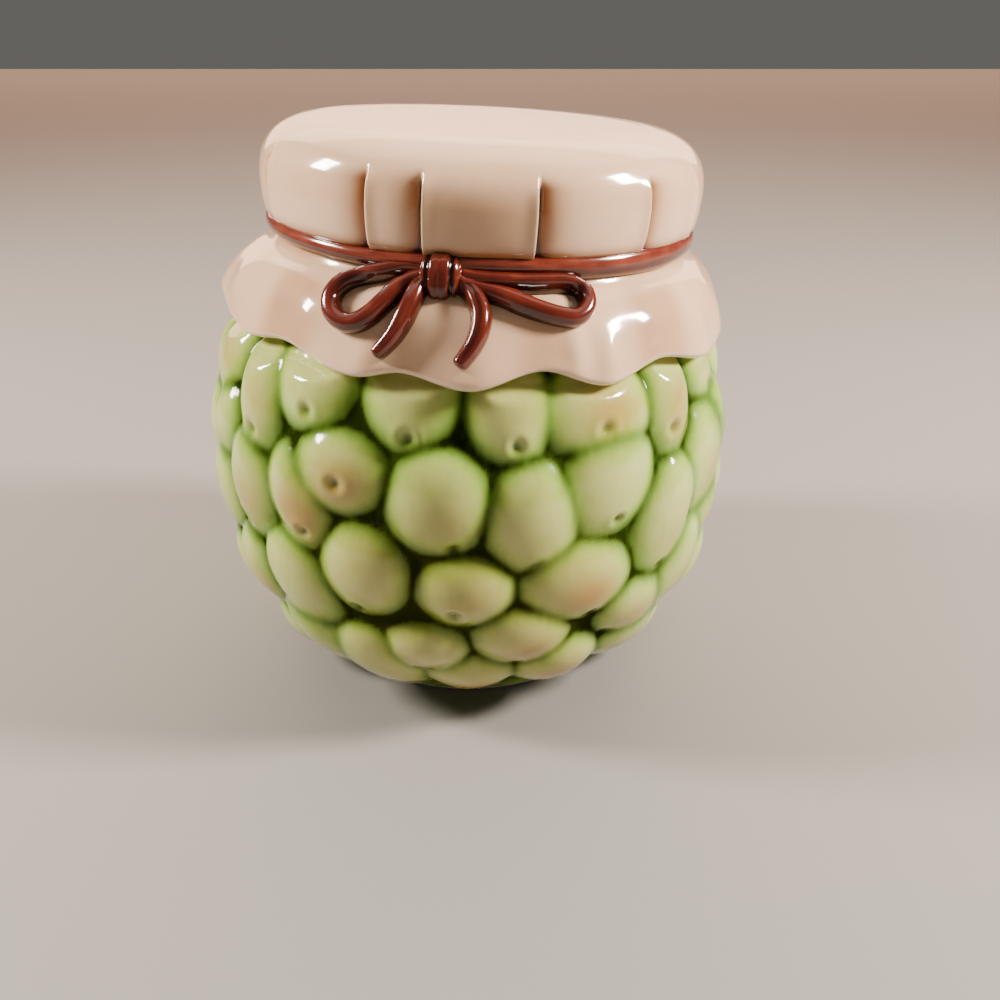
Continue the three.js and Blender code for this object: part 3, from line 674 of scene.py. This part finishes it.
        # Most room for the grapes under the skirt, as [height, radius] of the cover frame.
        narrowing = self.neck_r - self.hem_r
        limit = np.vstack((np.array([self.hem_z, self.hem_r]) + np.array([
            [-13.5, 5.5], [-9.5, -0.5], [-5.5, -5.5], [1, 0.4 * narrowing], [9, 0.67 * narrowing],
        ]), [self.rim_z - 6, self.neck_r + 1]))
        for _ in range(self.shave_steps):
            seen = self.cover.from_jar(start + out * lift[..., None])
            allowed = np.interp(seen[..., 2], limit[:, 0], limit[:, 1])
            wide = np.hypot(seen[..., 0], seen[..., 1])
            over = (seen[..., 2] > limit[0, 0]) & (wide > allowed) & (lift > 0)
            lift = np.where(over, np.maximum(lift - self.shave, 0.0), lift)
        grid = start + out * lift[..., None]

        # Green stain sprayed into the low ground and beside the valleys; the near-black line along
        # each valley is painted shade over it.
        line_of_valley = np.exp(-lead / self.valley_dark)
        beside_valley = np.exp(-((lead / self.valley_shade) ** 1.4))
        above_foot = 0.35 + 0.65 * smooth(0.0, 14.0, wall[:, 1:])
        stain_and_shade = soften(0.50 * sunk + 0.85 * line_of_valley * (0.6 + 0.4 * sunk)
                       + beside_valley * (0.14 + 0.18 * upper), 2)
        # Painted warm shade: the honey tint grows on the grapes that face the front, most on the
        # low front ones.
        facing = smooth(-0.15, 0.9, np.cos(np.radians(turn)))
        low_front = smooth(0.75, 1.0, np.cos(np.radians(turn))) * smooth(118.0, 70.0, wall[:, 1:])
        marks = {
            "stain_and_shade": np.clip(stain_and_shade, 0, 1) * above_foot,
            "pit": 0.75 * dark * open_ground,
            "ripe_and_warm_shade": ((0.15 + 0.6 * facing) * soften(smooth(0.05, 0.95, ripe_and_warm_shade), 2)
                     + 0.10 * facing + 0.34 * low_front) * (1 - 0.9 * np.clip(stain_and_shade, 0, 1)),
            "inside": np.zeros(shape),
            "bare": np.zeros(shape),
        }
        return grid, marks

    def build(self) -> bpy.types.Object:
        """The whole pot as one closed skin, from the middle of the base up and over the rim."""
        turn = self.turns()
        relief, marks = self.relief_grid()
        ring = self.foot_r - self.foot_width
        base = [[3, self.foot_recess], [30, self.foot_recess], [ring - 4, self.foot_recess],
                [ring - 2, self.foot_recess - 0.2], [ring - 0.6, 0.5], [ring + 0.6, 0.0],
                [self.foot_r - 1.2, 0.0], [self.foot_r, 0.5], [self.foot_r + 0.8, 1.6]]
        corner = np.array([self.neck_r, self.rim_z])
        neck = smooth_path(corner + np.array([[3.2, -17.5], [0.8, -12], [0, -6], [0, -3]]), 7)
        mid = (self.neck_r + self.mouth_r) / 2
        rim = [[self.neck_r - 0.3, self.rim_z - 1.2], [self.neck_r - 1.3, self.rim_z - 0.25],
               [mid, self.rim_z], [self.mouth_r + 1.3, self.rim_z - 0.25],
               [self.mouth_r + 0.2, self.rim_z - 1.3]]
        bore = [[self.mouth_r, self.rim_z - down] for down in (3, 12, 19)]
        crest = self.crest()[2:-1][::-1]
        hollow = smooth_path(np.vstack((
            [self.mouth_r + 1.5, self.shoulder_z - 3.5],
            crest - np.array([self.relief + self.wall, 0.0]),
            [self.foot_r - 3, self.foot_recess + self.floor + 4],
            [self.foot_r - 15, self.foot_recess + self.floor],
            [30, self.foot_recess + self.floor], [3, self.foot_recess + self.floor],
        )), 18)
        parts = [
            (base, False, 1.0, 0.0), (neck, True, 0.0, 0.85), (rim, True, 0.0, 1.0),
            (bore, True, 0.0, 1.0), (hollow, False, 0.0, 1.0),
        ]
        rings, keys = [], {key: [] for key in marks}
        for number, (profile, leaning, bare, inside) in enumerate(parts):
            if number == 1:
                rings.append(relief)
                for key, mark in marks.items():
                    keys[key].append(mark)
            profile = np.array(profile)
            made = polar(turn[None, :], profile[:, :1], profile[:, 1:])
            rings.append(self.cover.to_jar(made) if leaning else made)
            shape = made.shape[:2]
            filled = {"bare": bare, "inside": inside}
            for key in keys:
                keys[key].append(np.full(shape, filled.get(key, 0.0)))
        grid = np.concatenate(rings)
        return skin("grape_pot", grid, Ends.POLES,
                    {key: np.concatenate(value) for key, value in keys.items()})


# ---------------------------------------------------------------- the lid

# Pleats gathered into the side of the cap, in degrees.
FOLDS = (-62.0, -25.7, -12.5, 13.0, 42.3, 66.0, 94.0, 126.0, 158.0, 190.0, 226.0, 262.0)

# The hem's waves as [turn, height above the plain hem, reach beyond it].
HEM = np.array([
    [-88, 4.4, 4.2], [-71, 0, 0.6], [-57, -1.3, 0.6], [-43.5, 1.2, -1.9], [-24, -3, 1.3],
    [-14, -0.3, -0.5], [-0.8, -3.4, 1.8], [13.8, 2, -1.1], [27, -2.9, 1.2], [43, 1.1, -2.1],
    [59, -2.6, 0.6], [76, -0.8, -0.2], [91, 1.8, -0.8], [104, -1.6, 0.8], [116, 2.4, -1.8],
    [129, -2, 1], [143, 2.2, -1.6], [155, -2.1, 1.1], [169, 2.3, -1.7], [182, -1.9, 0.9],
    [196, 2.2, -1.5], [209, -2.1, 1.3], [223, 2.3, -1.5], [236, -1.8, 1], [249, 1.9, -1.2],
    [260, -1.2, 1.4],
])

# Soft ridges in the skirt as [turn, half width, lift, lowest height, highest height].
RIDGES = (
    (-72.0, 5.0, 1.5, 40.0, 58.0), (-37.0, 5.0, 1.5, 43.0, 58.0), (-21.0, 3.2, 1.3, 37.0, 52.0),
    (1.0, 4.5, 0.9, 37.0, 52.0), (20.5, 2.5, 1.1, 38.0, 56.0), (27.5, 2.7, 1.3, 37.0, 55.0),
    (40.0, 5.5, 1.4, 43.0, 59.0), (58.0, 4.0, 1.2, 38.0, 55.0), (74.0, 4.5, 1.0, 41.0, 56.0),
    *((centre, half, 1.2, 37.0, 55.0) for centre, half in (
        (102.0, 4.0), (128.0, 4.0), (154.0, 4.5), (181.0, 4.0), (208.0, 4.5), (235.0, 4.0),
        (259.0, 4.5))),
)


@dataclass(frozen=True)
class ClothCover:
    """The lid: a pleated cap, a waist for the cord, a wavy skirt, and a ring for the mouth."""

    frame: CoverFrame = CoverFrame()
    cap_r: float = 83.1
    cap_top: float = 104.3
    cap_side_z: float = 85.3
    waist_r: float = 77.2
    waist_z: float = 66.6
    waist_half: float = 4.8
    skirt_top: float = 61.5
    hem_r: float = 96.5
    hem_z: float = 37.0
    cloth: float = 4.8
    cap_wall: float = 5.6
    flange_wall: float = 5.0
    flange_drop: float = 12.5
    mouth_r: float = 64.0
    mouth_play: float = 2.0
    neck_r: float = 70.5
    cover_play: float = 2.0
    rim_z: float = 60.0
    fit: float = 0.3
    column_step: float = 0.72  # in degrees
    pleat_deep: float = 3.4
    pleat_fill: float = 2.5  # turn over which a crease fills again, in degrees
    pleat_ridge: float = 0.8

    def columns(self) -> Array:
        """Turns of the columns: even steps, with close ones on both sides of each pleat."""
        even = np.arange(-90.0, 270.0, self.column_step)
        away = np.all([np.abs(turn_between(even, fold)) > 2.2 for fold in FOLDS], axis=0)
        near = np.array([-1.9, -1.5, -1.1, -0.8, -0.5, -0.25, 0.0, 0.15, 0.3, 0.45, 0.7, 1.0,
                         1.4, 1.9])
        pleats = np.concatenate([fold + near * beyond(fold) for fold in FOLDS])
        return np.sort(np.concatenate((even[away], pleats)))

    def fold_depth(self, turn: Array) -> Array:
        """Depth of the pleats: a low ridge along each edge, and a crease beyond it that fills
        again as exp(-d / fill), where d is the turn beyond the edge."""
        depth = np.zeros_like(turn)
        for fold in FOLDS:
            d = turn_between(turn, fold) * beyond(fold)
            ridge = -self.pleat_ridge * np.exp(-((d / 2.0) ** 2))
            filled = np.exp(-np.maximum(d, 0.0) / self.pleat_fill)
            crease = self.pleat_deep * filled * smooth(-0.25, 0.6, d)
            depth += np.where(d < 0, ridge * smooth(0.3, -0.5, d), 0.0) + crease
        return depth

    def hang(self, turn: Array) -> tuple[Array, Array]:
        """The hem's wave at each turn, and how far the skirt is stretched down to it."""
        wave = round_about(HEM, turn)
        return wave, 1 - wave[..., 0] / (self.skirt_top - self.hem_z)

    def point(self, turn: Array, radius: Array, height: Array) -> Array:
        """A point of the cover from a point of its plain turned form.

        Above the waist the pleats press the radius in. Below it the skirt is stretched down to
        the hem's waves and swings out with them, in proportion to its depth, and soft ridges
        stand on it.
        """
        fold = smooth(self.waist_z - 1.0, self.waist_z + 2.6, height) * (
            1 - smooth(self.cap_top - 15.0, self.cap_top - 8.5, height)) * (
            0.6 + 0.4 * smooth(self.waist_z + 2.0, self.waist_z + 11.0, height))
        hang, drop = self.hang(turn)
        frill = 1 - smooth(self.hem_z, self.skirt_top, height)
        below = np.maximum(self.skirt_top - height, 0.0)
        lift = np.zeros(np.broadcast(turn, height).shape)
        for centre, half, high, low_z, top_z in RIDGES:
            reach = smooth(low_z - 8, low_z + 6, height) * (1 - smooth(top_z - 12, top_z, height))
            lift = lift + high * reach * np.exp(-((turn_between(turn, centre) / half) ** 2))
        return polar(turn, radius - self.fold_depth(turn) * fold + hang[..., 1] * frill + lift,
                     height + below - below * drop)

    def flare(self) -> Array:
        """The bell curve of the skirt from the cord down to the hem, as [radius, height]."""
        curve = np.array([[0.2, 0.075], [0.43, 0.2], [0.67, 0.405], [0.83, 0.65], [0.94, 0.87],
                          [1.0, 1.0]])
        top = np.array([self.waist_r, self.waist_z - self.waist_half])
        under_cord = top + np.array([[0.0, 3.4], [1.5, 1.2]])
        return np.vstack((under_cord, top + (np.array([self.hem_r, self.hem_z]) - top) * curve))

    def cloth_radius(self, turn: Array, height: Array) -> Array:
        """Radius of the cover's side at a turn and height, with the waves of its skirt."""
        hang, drop = self.hang(turn)
        plain = np.where(height < self.skirt_top,
                         self.skirt_top - (self.skirt_top - height) / drop, height)
        flare = smooth_path(self.flare(), 60)[::-1]
        frill = 1 - smooth(self.hem_z, self.skirt_top, plain)
        return np.interp(plain, flare[:, 1], flare[:, 0]) + hang[..., 1] * frill

    def build(self) -> bpy.types.Object:
        """The whole lid as one closed skin, from the middle of its top out and back inside."""
        turn = self.columns()[None, :]
        gathered = self.waist_z + self.waist_half
        side = np.array([self.cap_r, self.cap_side_z])
        waist = np.array([self.waist_r, gathered])
        top = np.stack((np.linspace(3, self.cap_r - 27, 7), np.full(7, self.cap_top)), axis=-1)
        cap = smooth_path(np.vstack((
            *(np.array([self.cap_r, self.cap_top]) - np.array([
                [25, 0], [18, 0.3], [12, 1.9], [5.4, 5.9], [1.3, 12]])), side,
            *(side + (waist - side) * np.array([
                [0.04, 0.45], [0.12, 0.74], [0.24, 0.96], [0.42, 1.10], [0.75, 1.21],
                [1.0, 1.25]])),
        )), 46)
        band = np.stack((np.full(3, self.waist_r),
                         np.linspace(gathered - 2.8, self.waist_z - 1.0, 3)), axis=-1)
        flare = self.flare()
        skirt = smooth_path(flare, 36)
        lip = np.array([self.hem_r, self.hem_z]) + np.array([
            [0.05, -0.9], [-0.5, -1.8], [-1.5, -2.4], [-2.7, -2.4], [-3.8, -1.8], [-4.5, -0.7]])
        roomy = self.neck_r + self.cover_play
        under = smooth_path(np.vstack((
            [self.hem_r - self.cloth - 0.2, self.hem_z + 0.8],
            flare[[6, 5, 4]] - np.array([self.cloth * 1.1, 0.0]),
            [roomy, self.rim_z - 1],
        )), 16)
        outer = self.mouth_r - self.mouth_play
        inner = outer - self.flange_wall
        seat = self.rim_z + self.fit
        low = seat - self.flange_drop
        seat_ring = np.array([[roomy - 0.4, seat - 0.2], [roomy - 1.2, seat], [outer + 1.0, seat],
                              [outer, seat - 1.0]])
        flange = np.array([[outer, low + 1.6], [outer - 0.4, low + 0.5], [outer - 1.3, low],
                           [inner + 1.0, low], [inner + 0.2, low + 0.5], [inner, low + 1.4],
                           [inner, seat + 1.5]])
        roof = self.cap_top - self.cap_wall
        hollow = smooth_path(np.array([
            [inner + 1.0, seat + 3.2], [self.waist_r - self.cap_wall - 1, self.waist_z],
            [self.waist_r + 0.58 * (self.cap_r - self.waist_r) - self.cap_wall, gathered + 3],
            [self.cap_r - self.cap_wall, self.cap_side_z - 1],
            [self.cap_r - self.cap_wall - 2.8, roof - 6.2],
            [self.cap_r - self.cap_wall - 12, roof], [30, roof], [3, roof],
        ]), 30)

        wavy, plain = [top, cap, band, skirt, lip, under], [seat_ring, flange, hollow]
        grids = [self.point(turn, part[:, :1], part[:, 1:]) for part in wavy]
        grids += [polar(turn, part[:, :1], part[:, 1:]) for part in plain]
        sizes = [len(part) for part in wavy + plain]
        # The last wavy part is the underside of the skirt, and the one before it is the lip.
        owner = np.repeat(np.arange(len(sizes)), sizes)[:, None]
        outside = np.where(owner < len(wavy) - 1, 1.0, 0.0)
        edge = np.where(owner == len(wavy) - 2, 1.0, 0.0)
        height = np.vstack(wavy + plain)[:, 1:]
        hang = self.hang(turn)[0]
        # Creases of the pleats: partly pooled glaze, partly painted shade.
        crease = np.clip(self.fold_depth(turn), 0, 2.8) / 2.8
        on_cap = smooth(self.waist_z - 1.0, self.waist_z + 2.6, height) * (
            1 - smooth(self.cap_top - 13.5, self.cap_top - 10.0, height))
        # Painted shade in the dips of the skirt between its lobes.
        dip_shade = smooth(0.4, -1.6, hang[..., 1]) * (
            1 - smooth(self.waist_z - 12, self.waist_z - 4, height))
        # Painted shade round the cord.
        shade_by_cord = np.exp(-(((height - self.waist_z) / 5.2) ** 4))
        # Painted shade on the front panel of the cap, where less light falls.
        front_panel_shade = np.exp(-((turn / 12.0) ** 4)) * smooth(self.cap_top - 13.0, self.cap_side_z - 2.0,
                                                       height) * on_cap
        pool = outside * np.clip(crease * on_cap + 0.30 * dip_shade + 0.45 * shade_by_cord + 0.3 * front_panel_shade, 0, 1)
        # The lip is painted paler: glaze thinning over its edge, and a painted highlight along it.
        marks = {"pool": pool, "thin_glaze_and_highlight": 0.4 * edge + 0 * pool, "inside": 1 - outside + 0 * pool}
        grid = self.frame.to_jar(np.concatenate(grids))
        return skin("cloth_cover", grid, Ends.POLES, marks)


def beyond(fold: float) -> float:
    """The way round that leads away from the front: 1 on the right of it, -1 on the left."""
    return 1.0 if 0 < fold < 180 else -1.0


# ---------------------------------------------------------------- the cord and the bow

# The tied cord as [turn, middle above the waist, half width].
CORD = np.array([
    [-74, 1.3, 3.1], [-45, 0.5, 2.9], [-28, -0.1, 2.8], [-10, 0.5, 2.8], [13, 0.7, 2.8],
    [28, -0.2, 3.7], [50, 0, 4.2], [68, 0.5, 3.7], [100, 0.8, 3.3], [180, 0.8, 3],
    [250, 1.1, 3.1],
])

# Paths of the bow as [turn, drop below the waist].
LOOP_LEFT = np.array([
    [-11.5, 2.2], [-14.5, 2.2], [-17.5, 2.7], [-21.8, 4.6], [-25.5, 6.0], [-28.6, 8.1],
    [-30.9, 11], [-31.2, 13.7], [-29.9, 16.9], [-27.6, 18.9], [-25.2, 19.3], [-23.1, 18.4],
    [-21.2, 16.3], [-19.4, 13.4], [-17.9, 10.7], [-16.2, 8], [-14, 5.9], [-11.5, 4.9],
])
LOOP_RIGHT = np.array([
    [-4.0, 3.7], [0, 4.5], [4, 4.8], [8, 5], [12.2, 5.1], [16.4, 5.1], [20.3, 5.3], [23, 6.4],
    [24.4, 8.4], [24.2, 11], [22.8, 13.1], [20.6, 14.4], [17.8, 14], [14.2, 12.7], [10.7, 11.2],
    [7.4, 9.7], [4.2, 8.6], [1, 7.5], [-4.0, 5.9],
])
TAIL_LEFT = np.array([
    [-11.4, 5.2], [-12.6, 9], [-13.4, 13], [-14.3, 16.7], [-15.6, 20.9], [-17.3, 24.6],
    [-18.9, 27.4],
])
TAIL_RIGHT = np.array([
    [-4.2, 4.8], [-1.8, 7.4], [0.1, 9.9], [1.2, 12.9], [1.3, 16], [0.7, 19.4], [-0.5, 23.1],
    [-2.1, 26.6], [-2.8, 28.1],
])


@dataclass(frozen=True)
class CordAndBow:
    """The cord tied round the waist of the cover, and the bow of clay coils laid on it."""

    cover: ClothCover = ClothCover()
    cord_proud: float = 4.5
    cord_slack: float = 1.1  # how much wider the cord lies than it was drawn
    coil_half: float = 3.15
    coil_high: float = 5.4
    press: float = 1.2
    cord_columns: int = 420
    cord_sides: int = 19
    coil_rings: int = 90
    coil_sides: int = 28
    knot_rings: int = 61
    knot_sides: int = 48
    knot_turn: float = -7.9
    knot_drop: float = 3.1
    knot_wide: float = 7.3
    knot_high: float = 7.6
    knot_deep: float = 7.2

    def cord(self) -> bpy.types.Object:
        """The cord as a ring: a flattened half round carried round the waist.

        At a section angle a the cord stands off the waist by proud times the power 0.6 of
        cos a, and rises by half its width times sin a.
        """
        turn = np.linspace(-180.0, 180.0, self.cord_columns, endpoint=False)[:, None]
        angle = np.radians(np.linspace(-90.0, 90.0, self.cord_sides))[None, :]
        back = np.array([[0.6, -0.6]])
        above, half = np.moveaxis(round_about(CORD, turn), -1, 0)
        half = self.cord_slack * half
        strand = 0.35 * np.sin(np.radians(turn * 3 + 20)) + 0.25 * np.sin(np.radians(turn * 7))
        out = self.cord_proud * np.cos(angle) ** 0.6
        lift = np.concatenate((out + 0 * half, -2.0 + 0 * half + 0 * back), axis=1)
        rise = np.concatenate((np.sin(angle) * (half + 0.12 * strand), back * half), axis=1)
        level = self.cover.waist_z + above + rise
        grid = polar(turn, self.cover.waist_r + lift, level)
        run = np.radians(turn) * self.cover.waist_r + 0 * lift
        # Painted light: lighter where the cord stands out and on its top half, with painted shade
        # on its lower half and against the cloth.
        marks = {"rise": np.clip(lift / self.cord_proud, 0, 1) * (0.75 + 0.25 * np.sign(rise)),
                 "along": run, "across": rise}
        return skin("tied_cord", self.cover.frame.to_jar(grid), Ends.RING, marks)

    def on_cloth(self, turn: Array, height: Array) -> tuple[Array, Array]:
        """Points on the cloth, and the direction straight out of it there, by differences."""
        at = polar(turn, self.cover.cloth_radius(turn, height), height)
        up = polar(turn, self.cover.cloth_radius(turn, height + 1), height + 1) - at
        across = polar(turn + 0.5, self.cover.cloth_radius(turn + 0.5, height), height) - at
        return at, unit(np.cross(across, up))

    def coil(self, name: str, path: Array, widths: Array, groove: float = 0.0,
             tip: Pair = (2.0, 2.6)) -> bpy.types.Object:
        """A clay coil laid along a path on the cloth.

        The section is a superellipse with a flat foot. Its half width goes by the widths, and
        both ends close as the square root of 1 - u^4 over the last few millimetres.

        Args:
            name: Name of the piece.
            path: Points as [turn, drop below the waist].
            widths: Half widths at even places along the coil.
            groove: Depth of the groove that splits the coil into two strands.
            tip: Length over which the first and the last end close.

        Returns:
            The coil as a closed piece.
        """
        knots = self.on_cloth(path[:, 0], self.cover.waist_z - path[:, 1])[0]
        middle = smooth_path(knots, self.coil_rings, bunch=0.55)
        run = np.concatenate(([0.0], np.cumsum(np.linalg.norm(np.diff(middle, axis=0), axis=1))))
        length = run[-1]
        ends = np.minimum(run / tip[0], (length - run) / tip[1]).clip(0, 1)
        size = np.sqrt(np.clip(1 - (1 - ends) ** 4, 0.0016, 1.0))[:, None]
        half = np.interp(run / length, np.linspace(0, 1, len(widths)), widths)[:, None] * size
        turn = np.degrees(np.arctan2(middle[:, 0], -middle[:, 1]))
        out = self.on_cloth(turn, middle[:, 2])[1]
        side = unit(np.cross(unit(np.gradient(middle, axis=0)), out))
        angle = np.radians(np.linspace(0, 360, self.coil_sides, endpoint=False))[None, :]
        across = np.sign(np.cos(angle)) * np.abs(np.cos(angle)) ** 0.9
        rise = np.where(np.sin(angle) > 0, np.abs(np.sin(angle)) ** 0.92, np.sin(angle) * 0.3)
        fade = smooth(0.0, 6.0, run)[:, None] * smooth(0.0, 5.0, length - run)[:, None]
        dent = groove * np.exp(-(((across - 0.12) / 0.16) ** 2)) * (rise > 0) * fade
        foot = middle[:, None, :] + side[:, None, :] * (across * half)[..., None]
        there = np.degrees(np.arctan2(foot[..., 0], -foot[..., 1]))
        at, laid_out = self.on_cloth(there, foot[..., 2])
        lift = ((0.24 + 0.76 * rise) * (self.coil_high + self.press) - self.press - dent) * size
        lift = np.maximum(lift, -self.press)
        grid = at + laid_out * lift[..., None]
        # Painted light on the top of the coil, with painted shade at its foot and in its groove.
        marks = {"rise": 0.66 * np.clip(rise, 0, 1) + 0 * lift - 0.8 * dent,
                 "across": across * half,
                 "along": run[:, None] + 0 * lift}
        return skin(name, self.cover.frame.to_jar(grid), Ends.POLES, marks)

    def knot(self) -> bpy.types.Object:
        """The knot: a broad wrap of the cord between two narrow ones.

        It is a barrel whose axis lies along the cord. Its size along the axis goes as the square
        root of 1 - |x|^2.6, with two deep grooves and a faint one cut by bell curves.
        """
        x = np.sin(np.radians(np.linspace(-88.5, 88.5, self.knot_rings)))[:, None]
        angle = np.radians(np.linspace(0, 360, self.knot_sides, endpoint=False))[None, :]
        barrel = np.sqrt(1 - np.abs(x) ** 2.6)
        grooves = sum(np.exp(-(((x - at) / 0.085) ** 2)) for at in (-0.5, 0.46))
        faint = np.exp(-(((x + 0.06) / 0.05) ** 2))
        size = barrel * (1 - 0.15 * grooves - 0.03 * faint)
        cover = self.cover
        turn = self.knot_turn + np.degrees(x * self.knot_wide / cover.waist_r)
        out = size * self.knot_deep * np.cos(angle)
        up = size * self.knot_high * np.sign(np.sin(angle)) * np.abs(np.sin(angle)) ** 0.85
        level = cover.waist_z - self.knot_drop + up
        slope = 0.28 * np.maximum(-up, 0.0)
        grid = polar(turn + 0 * out, cover.waist_r + 2.6 + out + slope, level)
        # Painted light where the knot faces out, with painted shade in its grooves.
        marks = {"rise": np.clip(0.1 + 0.5 * np.cos(angle) - 0.9 * grooves, 0, 1),
                 "along": up, "across": x * self.knot_wide + 0 * up}
        return skin("bow_wrap", cover.frame.to_jar(grid), Ends.POLES, marks)

    def build(self) -> dict[str, bpy.types.Object]:
        """The pieces of the cord and the bow, by the CAD node that each one stands for."""
        w = self.coil_half
        return {
            "ribbon_band": self.cord(),
            "bow_knot": self.knot(),
            "bow_loop_left": self.coil("loop_left", LOOP_LEFT, w * np.array([1, 1, 1.05, 1]),
                                       tip=(2.0, 2.0)),
            "bow_loop_right": self.coil("loop_right", LOOP_RIGHT,
                                        w * np.array([0.95, 1.05, 1, 0.95, 1.1, 1]),
                                        tip=(2.0, 2.0)),
            "bow_tail_left": self.coil("tail_left", TAIL_LEFT, w * np.array([0.95, 1.08, 0.8]),
                                       groove=0.5),
            "bow_tail_right": self.coil("tail_right", TAIL_RIGHT, w * np.array([0.95, 1.12, 0.85]),
                                        groove=1.0),
        }


# ---------------------------------------------------------------- the studio


@dataclass(frozen=True)
class SoftBox:
    """A rectangular soft light, aimed at a point of the jar."""

    name: str
    place: Triple
    size: Pair
    power: float
    colour: str = "#FFF6EC"
    aim: Triple = (0.0, 0.0, 0.12)

    def build(self) -> bpy.types.Object:
        """The light, in metres."""
        data = bpy.data.lights.new(self.name, "AREA")
        data.shape, data.size, data.size_y = "RECTANGLE", *self.size
        data.energy, data.color = self.power, linear(self.colour)[:3]
        light = shown(self.name, data)
        light.location = self.place
        way = np.array(self.aim) - np.array(self.place)
        pitch = math.atan2(math.hypot(way[0], way[1]), -way[2])
        light.rotation_euler = (pitch, 0.0, math.atan2(-way[0], way[1]))
        return light


@dataclass(frozen=True)
class Studio:
    """Plain grey floor, soft light, and a camera where the photograph was taken from."""

    floor_colour: str = "#8A8680"
    sky_colour: str = "#E9E4DF"
    sky_strength: float = 0.16
    camera_place: Triple = (0.0129, -0.3976, 0.247)
    camera_down: float = 25.6
    lens: float = 36.0
    lights: tuple[SoftBox, ...] = (
        SoftBox("key_left", (-1.10, -0.02, 0.80), (0.24, 0.34), 38.0),
        SoftBox("key_right", (1.08, -0.14, 0.80), (0.22, 0.3), 50.0),
        SoftBox("glow_behind", (0.0, 6.0, 3.1), (10.0, 5.4), 520.0, "#FFC9A6"),
        SoftBox("overhead", (0.0, 0.75, 1.6), (2.6, 2.2), 20.0),
    )

    def floor(self) -> None:
        """A large grey floor, which isn't part of the jar."""
        mesh = bpy.data.meshes.new("floor")
        mesh.from_pydata([(-8, -4, -2e-4), (8, -4, -2e-4), (8, 5.8, -2e-4), (-8, 5.8, -2e-4)],
                         [], [(0, 1, 2, 3)])
        floor = shown("floor", mesh)
        material = bpy.data.materials.new("matt_floor_paper")
        material.use_nodes = True
        tree = material.node_tree
        feed(tree, tree.nodes["Principled BSDF"],
             {"Base Color": linear(self.floor_colour), "Roughness": 0.7})
        mesh.materials.append(material)

    def build(self) -> None:
        """Floor, sky, lights and camera."""
        self.floor()
        world = bpy.data.worlds.new("pale_room")
        world.use_nodes = True
        tree = world.node_tree
        feed(tree, tree.nodes["Background"],
             {"Color": linear(self.sky_colour), "Strength": self.sky_strength})
        bpy.context.scene.world = world
        for light in self.lights:
            light.build()
        data = bpy.data.cameras.new("camera")
        data.lens, data.sensor_width = self.lens, 36.0
        data.clip_start = 0.01
        camera = shown("camera", data)
        camera.location = self.camera_place
        camera.rotation_euler = (math.radians(90.0 - self.camera_down), 0.0, 0.0)
        bpy.context.scene.camera = camera


def dress(piece: bpy.types.Object, material: bpy.types.Material, node: str, body: Body) -> None:
    """Gives a piece its glaze, and makes it stand for a CAD node and ride on its body.

    Args:
        piece: The new piece.
        material: Its glaze.
        node: The CAD node that it stands for.
        body: The body that it moves with.
    """
    piece.data.materials.append(material)
    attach(piece, body.value)
    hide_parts(node)
    log.info("%s stands for %s, %d faces", piece.name, node, len(piece.data.polygons))


def main() -> None:
    """Builds the studio, the pot, the lid and the bow, in that order."""
    Studio().build()
    dress(GrapePot().build(), StainedAndShadedGreenGlaze().material(), "jar_body", Body.JAR)
    dress(ClothCover().build(), CreamGlaze().material(), "lid_cover", Body.LID)
    brown = BrushedBrownGlaze().material()
    for node, piece in CordAndBow().build().items():
        dress(piece, brown, node, Body.LID)


if __name__ == "__main__":
    logging.basicConfig(level=logging.INFO, format="%(name)s: %(message)s")
    main()
